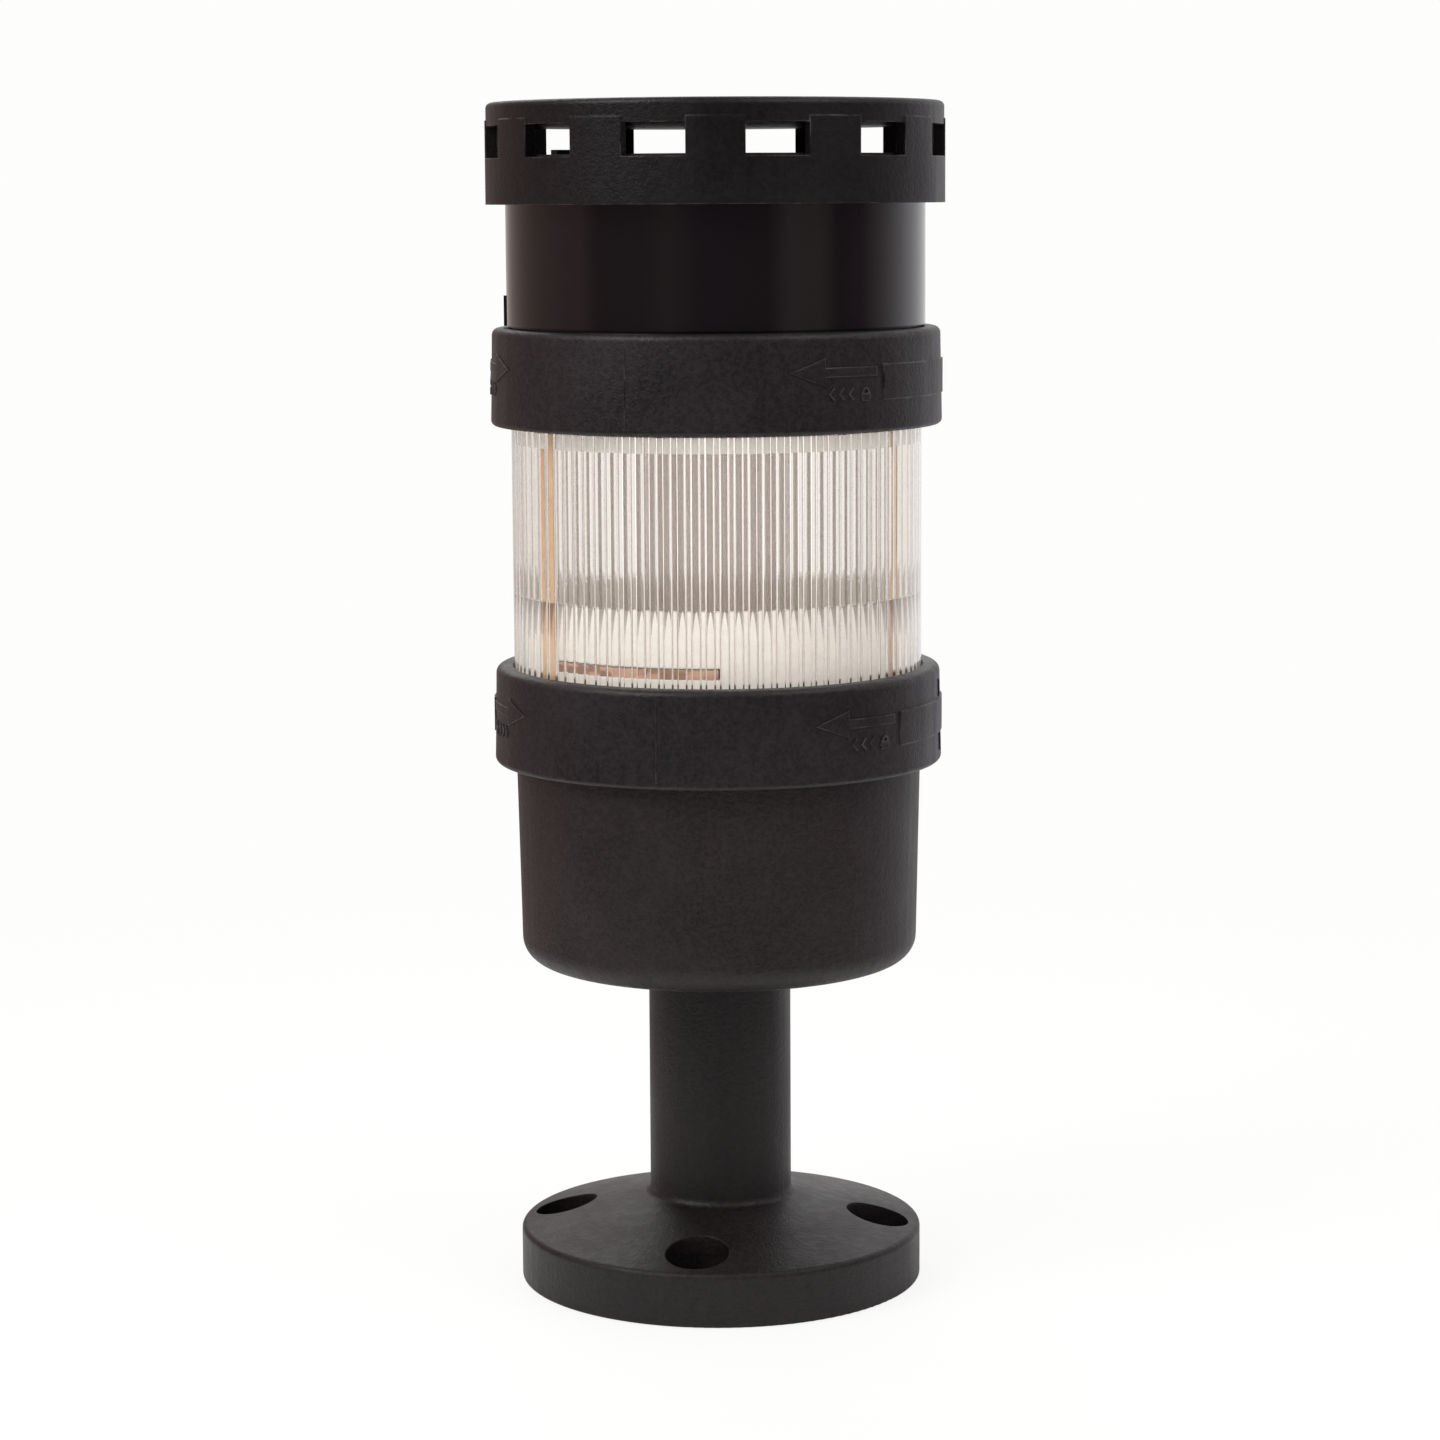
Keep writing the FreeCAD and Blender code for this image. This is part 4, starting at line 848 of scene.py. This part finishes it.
@dataclass
class LockingRing:
    """A bayonet ring with grip pads, turn arrows and lock signs raised on its wall.

    Attributes:
        node: Its node and the stem of its pieces' names.
        body: The body that it turns on.
        low: Height of its lower edge.
        high: Height of its upper edge.
        pad_deg: Direction of its first grip pad, from the marked front.
        seam_deg: Direction of its mould seam, from the marked front.
        pad_width_deg: Width of a grip pad.
        radius_low: Radius of its wall at the lower edge.
        radius_high: Radius of its wall at the upper edge.
        pad_height: Height of a grip pad.
        head_length: Length of an arrow's head.
        head_height: Height of its head.
        shaft_length: Length of its shaft.
        shaft_height: Height of its shaft.
        shaft_gap: Gap between the pad and the shaft.
        arrow_rise: How far the arrow stands above the ring's middle.
        sign_drop: How far the lock sign stands below it.
        sign_share: Share of the shaft's length at which the sign stands.
        stops: Whether short upright ribs stand over and under its pads.
        stop_turn_deg: Direction of those ribs, from the middle of the pad.
        stop_width: Width of such a rib.
        stop_height: Height of such a rib.
        stop_gap: Gap between the pad and the rib's near end.
    """

    node: str
    body: str
    low: float
    high: float
    pad_deg: float
    seam_deg: float
    pad_width_deg: float = 42.6
    radius_low: float = 39.0 * MM
    radius_high: float = 38.65 * MM
    pad_height: float = 5.8 * MM
    head_length: float = 6.6 * MM
    head_height: float = 4.8 * MM
    shaft_length: float = 10.6 * MM
    shaft_height: float = 1.65 * MM
    shaft_gap: float = 1.6 * MM
    arrow_rise: float = 1.85 * MM
    sign_drop: float = 1.75 * MM
    sign_share: float = 0.52
    stops: bool = False
    stop_turn_deg: float = 6.3
    stop_width: float = 0.75 * MM
    stop_height: float = 3.1 * MM
    stop_gap: float = 0.25 * MM

    def wall(self, z: float) -> float:
        """Radius of the ring's wall at a height."""
        share = min(max((z - self.low) / (self.high - self.low), 0.0), 1.0)
        return self.radius_low + (self.radius_high - self.radius_low) * share

    def arrow(self) -> list[Point]:
        """Outline of an arrow that points along +u.

        Returns:
            The outline, from the blunt end of the shaft.
        """
        tip = self.shaft_length + self.head_length
        half, thick = self.head_height / 2, self.shaft_height / 2
        return [(0.0, -thick), (self.shaft_length, -thick), (self.shaft_length, -half), (tip, 0.0),
                (self.shaft_length, half), (self.shaft_length, thick), (0.0, thick)]

    def lock_sign(self, turn: Turn) -> list[list[Point]]:
        """Outlines of a small padlock and three chevrons.

        Args:
            turn: Which way the sign stands for; the padlock is shut for closing.

        Returns:
            Outlines about the sign's centre.
        """
        shut = turn is Turn.CLOSE
        case = rounded_box(2.0 * MM, 1.35 * MM, 0.25 * MM)
        radius, leg, lift = 0.62 * MM, 0.3 * MM, (0.25 if shut else 0.55) * MM
        bow = [(radius * math.cos(math.radians(a)), radius * math.sin(math.radians(a)) + lift)
               for a in range(0, 181, 15)]
        legs = [(radius, lift - leg), *bow, (-radius, lift - leg if shut else lift)]
        shapes = [moved(case, 0.0, -0.6 * MM), stroke(legs, 0.34 * MM)]
        first, pitch, length, half = 2.6 * MM, 1.9 * MM, 0.9 * MM, 1.0 * MM
        for index in range(3):
            nose = first + pitch * index
            wing = [(nose, half), (nose + length, 0.0), (nose, -half)]
            shapes.append(stroke(wing, 0.42 * MM))
        return [moved(shape, -2.9 * MM, 0.0) for shape in shapes]

    def build_marks(self) -> None:
        """Builds the arrows and lock signs beside every grip pad, and the short ribs over and under it."""
        relief = Relief(self.wall)
        middle = (self.low + self.high) / 2
        for pad in (self.pad_deg, self.pad_deg + 180.0):
            for turn in Turn:
                way = -1 if turn is Turn.CLOSE else 1
                edge = FRONT_DEG + pad + way * self.pad_width_deg / 2
                gap = math.degrees(self.shaft_gap / self.radius_low)
                arrow = moved(self.arrow(), 0.0, 0.0, way)[::way]
                relief.add(arrow, edge + way * gap, middle + self.arrow_rise)
                along = self.shaft_gap + self.shaft_length * self.sign_share
                reach = math.degrees(along / self.radius_low)
                for shape in self.lock_sign(turn):
                    sign = moved(shape, 0.0, 0.0, way)[::way]
                    relief.add(sign, edge + way * reach, middle - self.sign_drop)
            stop = rounded_box(self.stop_width, self.stop_height, 0.2 * MM)
            for side in (-1, 1) if self.stops else ():
                rise = side * ((self.pad_height + self.stop_height) / 2 + self.stop_gap)
                relief.add(stop, FRONT_DEG + pad + self.stop_turn_deg, middle + rise)
        new_piece(self.node + "_marks", relief.mesh, Finish.SATIN_BLACK, self.body)

    def build_seams(self) -> None:
        """Builds the fine mould seams that run up the ring."""
        relief = Relief(self.wall, proud=0.1 * MM, sunk=0.05 * MM, chamfer=0.05 * MM)
        tall = self.high - self.low - 3.2 * MM
        line = rounded_box(0.2 * MM, tall, 0.08 * MM)
        for turn in (0.0, 180.0):
            relief.add(line, FRONT_DEG + self.seam_deg + turn, (self.low + self.high) / 2 - 0.5 * MM)
        new_piece(self.node + "_seams", relief.mesh, Finish.SATIN_BLACK, self.body)

    def build(self) -> None:
        """Builds what is raised on the ring."""
        self.build_marks()
        self.build_seams()


@dataclass
class StripFaces:
    """The bright faces of the contact strips, close behind the lens's ribs.

    Attributes:
        degs: Their directions, from the marked front.
        radius: Radius of their outer side.
        width: Width of one face round the lens.
        thick: Thickness of one face.
        low: Height of their lower ends.
        high: Height of their upper ends.
    """

    degs: tuple[float, ...] = (-54.4, 59.5, 183.5)
    radius: float = 33.52 * MM
    width: float = 1.6 * MM
    thick: float = 0.1 * MM
    low: float = 109.0 * MM
    high: float = 150.7 * MM

    def build(self) -> None:
        """Builds the faces as one piece."""
        relief = Relief(lambda z: self.radius - self.thick, proud=self.thick, sunk=0.0,
                        step=0.4 * MM, chamfer=0.02 * MM)
        outline = rounded_box(self.width, self.high - self.low, 0.2 * MM)
        for turn in self.degs:
            relief.add(outline, FRONT_DEG + turn, (self.low + self.high) / 2)
        new_piece("contact_strip_faces", relief.mesh, Finish.CONTACT, "tower")


# ---------------- studio
@dataclass
class Studio:
    """The camera, the soft lights, the pale floor and the surroundings.

    Attributes:
        turn_deg: Turn of the camera's side from -Y round the upright axis.
        side: The camera's place across its view.
        distance: Its distance from the upright axis.
        height: Its height.
        pitch_deg: How far it looks down.
        roll_deg: Its turn about its own line of sight.
        pan_deg: How far it looks to the right.
        lens_mm: Its focal length, over a sensor of sensor_mm.
        sensor_mm: Width of that sensor.
        aim_height: Height of the point that the lamps face.
        floor_size: Width of the floor.
        floor_gap: How far the floor lies under the object.
        floor_rings: Rings of faces in the floor, closer together near the object.
        floor_spokes: Faces in one ring.
        floor_tones: The two colours of the floor's slow mottle.
        soft_light: Strength of the even light on every surface.
        backdrop: Colour behind the object.
        front: Colour on the camera's side, as seen through clear parts.
        room: Colours that polished surfaces mirror, by direction round the object from its back.
    """

    turn_deg: float = 8.5
    side: float = -1.25 * MM
    distance: float = 650.0 * MM
    height: float = 190.55 * MM
    pitch_deg: float = 7.996
    roll_deg: float = -0.32
    pan_deg: float = 0.137
    lens_mm: float = 93.67
    sensor_mm: float = 36.0
    aim_height: float = 0.11
    floor_size: float = 6.0
    floor_gap: float = 0.1 * MM
    floor_rings: int = 12
    floor_spokes: int = 48
    floor_tones: tuple[Colour, Colour] = ((0.80, 0.795, 0.785), (0.83, 0.825, 0.815))
    soft_light: float = 0.9
    backdrop: Colour = (0.99, 0.985, 0.98)
    front: Colour = (0.62, 0.52, 0.46)
    room: tuple[tuple[float, Colour], ...] = (
        (-180.0, (0.75, 0.72, 0.70)), (-150.0, (0.45, 0.36, 0.33)), (-120.0, (0.34, 0.24, 0.22)),
        (-78.0, (0.34, 0.22, 0.22)), (-66.0, (0.14, 0.09, 0.10)), (-40.0, (0.15, 0.11, 0.13)),
        (-26.0, (0.22, 0.16, 0.16)), (-6.0, (0.10, 0.07, 0.10)), (28.0, (0.10, 0.07, 0.09)),
        (40.0, (0.32, 0.25, 0.26)), (58.0, (0.32, 0.25, 0.24)), (70.0, (0.10, 0.07, 0.09)),
        (86.0, (0.14, 0.09, 0.12)), (102.0, (0.42, 0.36, 0.38)), (128.0, (0.90, 0.85, 0.92)),
        (150.0, (1.0, 1.0, 1.0)), (180.0, (0.95, 0.93, 0.92)),
    )

    def turned(self) -> Matrix:
        """The turn from the camera's side of the object to the shared frame."""
        return Matrix.Rotation(math.radians(self.turn_deg), 4, "Z")

    def build_camera(self) -> None:
        """Builds the camera."""
        pitch, roll, pan = (math.radians(a) for a in (self.pitch_deg, self.roll_deg, self.pan_deg))
        ahead = Vector((math.sin(pan) * math.cos(pitch), math.cos(pan) * math.cos(pitch), -math.sin(pitch)))
        right = Vector((math.cos(pan), -math.sin(pan), 0.0))
        up = right.cross(ahead)
        level_right = math.cos(roll) * right + math.sin(roll) * up
        level_up = -math.sin(roll) * right + math.cos(roll) * up
        pose = Matrix((level_right, level_up, -ahead)).transposed().to_4x4()
        pose.translation = Vector((self.side, -self.distance, self.height))
        data = bpy.data.cameras.new("front_camera")
        data.lens = self.lens_mm
        data.sensor_width = self.sensor_mm
        data.clip_start, data.clip_end = 0.01, 50.0
        camera = bpy.data.objects.new("front_camera", data)
        bpy.context.scene.collection.objects.link(camera)
        camera.matrix_world = self.turned() @ pose
        bpy.context.scene.camera = camera

    def add_lamp(self, name: str, place: tuple[float, float, float], size: tuple[float, float],
                 power: float, mirrored: bool = True) -> None:
        """Adds a soft lamp that faces the middle of the object.

        Args:
            name: Name of the lamp.
            place: Its place, seen from the camera's side.
            size: Width and height of its face.
            power: Its power in watts.
            mirrored: Whether glossy surfaces mirror it.
        """
        data = bpy.data.lights.new(name, "AREA")
        data.shape = "RECTANGLE"
        data.size, data.size_y = size
        data.energy = power
        lamp = bpy.data.objects.new(name, data)
        lamp.visible_glossy = mirrored
        bpy.context.scene.collection.objects.link(lamp)
        spot = self.turned() @ Vector(place)
        lamp.location = spot
        aim = Vector((0.0, 0.0, self.aim_height)) - spot
        lamp.rotation_mode = "QUATERNION"
        lamp.rotation_quaternion = aim.to_track_quat("-Z", "Y")

    def surroundings(self, graph: Graph, direction: Socket) -> Socket:
        """Colour of the room by direction, as polished surfaces mirror it.

        Args:
            graph: The graph that it is written in.
            direction: A direction away from the object, in the shared frame.

        Returns:
            The socket with the colour.
        """
        local = graph.add("VectorRotate", {0: direction, 3: math.radians(self.turn_deg)},
                          rotation_type="Z_AXIS", invert=True)
        parts = graph.add("SeparateXYZ", {0: local.outputs[0]}).outputs
        round_ = graph.math("ARCTAN2", parts[0], graph.math("MULTIPLY", parts[1], -1.0))
        share = graph.math("ADD", graph.math("DIVIDE", round_, math.tau), 0.5)
        ramp = graph.add("ValToRGB", {0: share})
        stops = ramp.color_ramp.elements
        for index, (degrees, colour) in enumerate(self.room):
            stop = stops[index] if index < 2 else stops.new(degrees / 360.0 + 0.5)
            stop.position = degrees / 360.0 + 0.5
            stop.color = (*colour, 1.0)
        return ramp.outputs[0]

    def through(self, graph: Graph, direction: Socket) -> Socket:
        """Colour of the room by direction, as clear parts bend it into view: dim on the camera's side.

        Args:
            graph: The graph that it is written in.
            direction: A direction away from the object, in the shared frame.

        Returns:
            The socket with the colour.
        """
        back = self.turned() @ Vector((0.0, 1.0, 0.0))
        toward = graph.add("VectorMath", {0: direction, 1: tuple(back)}, operation="DOT_PRODUCT")
        behind = graph.span(toward.outputs["Value"], -0.6, 0.0)
        return graph.mix(behind, self.front, self.backdrop)

    def build_world(self) -> None:
        """Builds the surroundings."""
        world = bpy.data.worlds.new("studio_world")
        bpy.context.scene.world = world
        world.use_nodes = True
        world.node_tree.nodes.clear()
        g = Graph(world.node_tree)
        path = g.add("LightPath").outputs
        direction = g.add("TexCoord").outputs["Generated"]
        soft = g.mix(path["Is Diffuse Ray"], (0.0, 0.0, 0.0), (self.soft_light,) * 3)
        mirrored = g.mix(path["Is Glossy Ray"], soft, self.surroundings(g, direction))
        refracted = g.mix(path["Is Transmission Ray"], mirrored, self.through(g, direction))
        seen = g.mix(path["Is Camera Ray"], refracted, self.backdrop)
        light = g.add("Background", {"Color": seen, "Strength": 1.0})
        g.add("OutputWorld", {"Surface": light.outputs[0]})

    def build_floor(self) -> None:
        """Builds the pale floor, which keeps the object's shadow and fades into the background."""
        mesh = bmesh.new()
        centre = mesh.verts.new((0.0, 0.0, 0.0))
        last: list[bmesh.types.BMVert] = []
        spokes = [math.tau * k / self.floor_spokes for k in range(self.floor_spokes)]
        for ring in range(1, self.floor_rings + 1):
            radius = self.floor_size / 2 * (ring / self.floor_rings) ** 2
            row = [mesh.verts.new((radius * math.cos(a), radius * math.sin(a), 0.0)) for a in spokes]
            for k in range(self.floor_spokes):
                after = (k + 1) % self.floor_spokes
                inner = (last[k], row[k], row[after], last[after]) if last else (centre, row[k], row[after])
                mesh.faces.new(inner)
            last = row
        data = bpy.data.meshes.new("floor")
        mesh.to_mesh(data)
        mesh.free()
        floor = bpy.data.objects.new("floor", data)
        bpy.context.scene.collection.objects.link(floor)
        floor.location.z = CAD_BOX[0].z - self.floor_gap
        data.materials.append(self.floor_material())

    def floor_material(self) -> bpy.types.Material:
        """Builds the floor's material.

        Returns:
            The material.
        """
        material, g, shader, place = new_material("pale_floor")
        noise = g.add("TexNoise", {"Vector": place, "Scale": 40.0, "Detail": 3.0})
        g.fill(shader, {"Base Color": g.mix(noise.outputs[0], *self.floor_tones),
                        "Roughness": g.span(noise.outputs[0], 0.3, 0.7, 0.75, 0.85)})
        path = g.add("LightPath").outputs
        away = g.add("VectorMath", {0: place}, operation="LENGTH").outputs["Value"]
        veil = g.math("MULTIPLY", path["Is Camera Ray"], g.span(away, 0.05, 0.4, 0.85, 1.0))
        white = g.add("Emission", {"Color": self.backdrop, "Strength": 1.0})
        first = g.add("MixShader", {0: veil, 1: shader.outputs[0], 2: white.outputs[0]})
        outward = g.add("VectorMath", {0: place}, operation="NORMALIZE").outputs[0]
        shown = g.mix(path["Is Transmission Ray"], self.surroundings(g, place), self.through(g, outward))
        mirrored = g.add("Emission", {"Color": shown, "Strength": 1.0})
        bent = g.math("MAXIMUM", path["Is Glossy Ray"], path["Is Transmission Ray"])
        second = g.add("MixShader", {0: g.math("MULTIPLY", bent, g.span(away, 0.04, 0.3)),
                                     1: first.outputs[0], 2: mirrored.outputs[0]})
        show(g, second.outputs[0])
        return material

    def build(self) -> None:
        """Builds the whole studio."""
        self.build_camera()
        self.build_world()
        self.build_floor()
        self.add_lamp("key_lamp", (-0.85, -0.6, 1.0), (0.7, 0.7), 10.0)
        self.add_lamp("fill_lamp", (0.8, -0.5, 1.15), (0.8, 0.8), 5.0)
        self.add_lamp("back_lamp", (-0.2, 1.0, 1.0), (0.9, 0.6), 4.5)
        self.add_lamp("low_lamp", (0.1, -1.1, 0.22), (1.0, 0.5), 1.6, mirrored=False)
        bpy.context.scene.view_settings.view_transform = "Standard"


def main() -> None:
    """Builds the stack light's looks in order."""
    logging.basicConfig(level=logging.INFO, format="%(name)s: %(message)s")
    Studio().build()
    dress_nodes()
    low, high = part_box("lower_locking_ring")
    LockingRing("lower_locking_ring", "lower_ring", low.z, high.z, pad_deg=73.4, seam_deg=-15.5,
                stops=True).build()
    StripFaces().build()
    low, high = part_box("upper_locking_ring")
    LockingRing("upper_locking_ring", "upper_ring", low.z, high.z, pad_deg=66.7, seam_deg=-22.9).build()


if __name__ == "__main__":
    main()
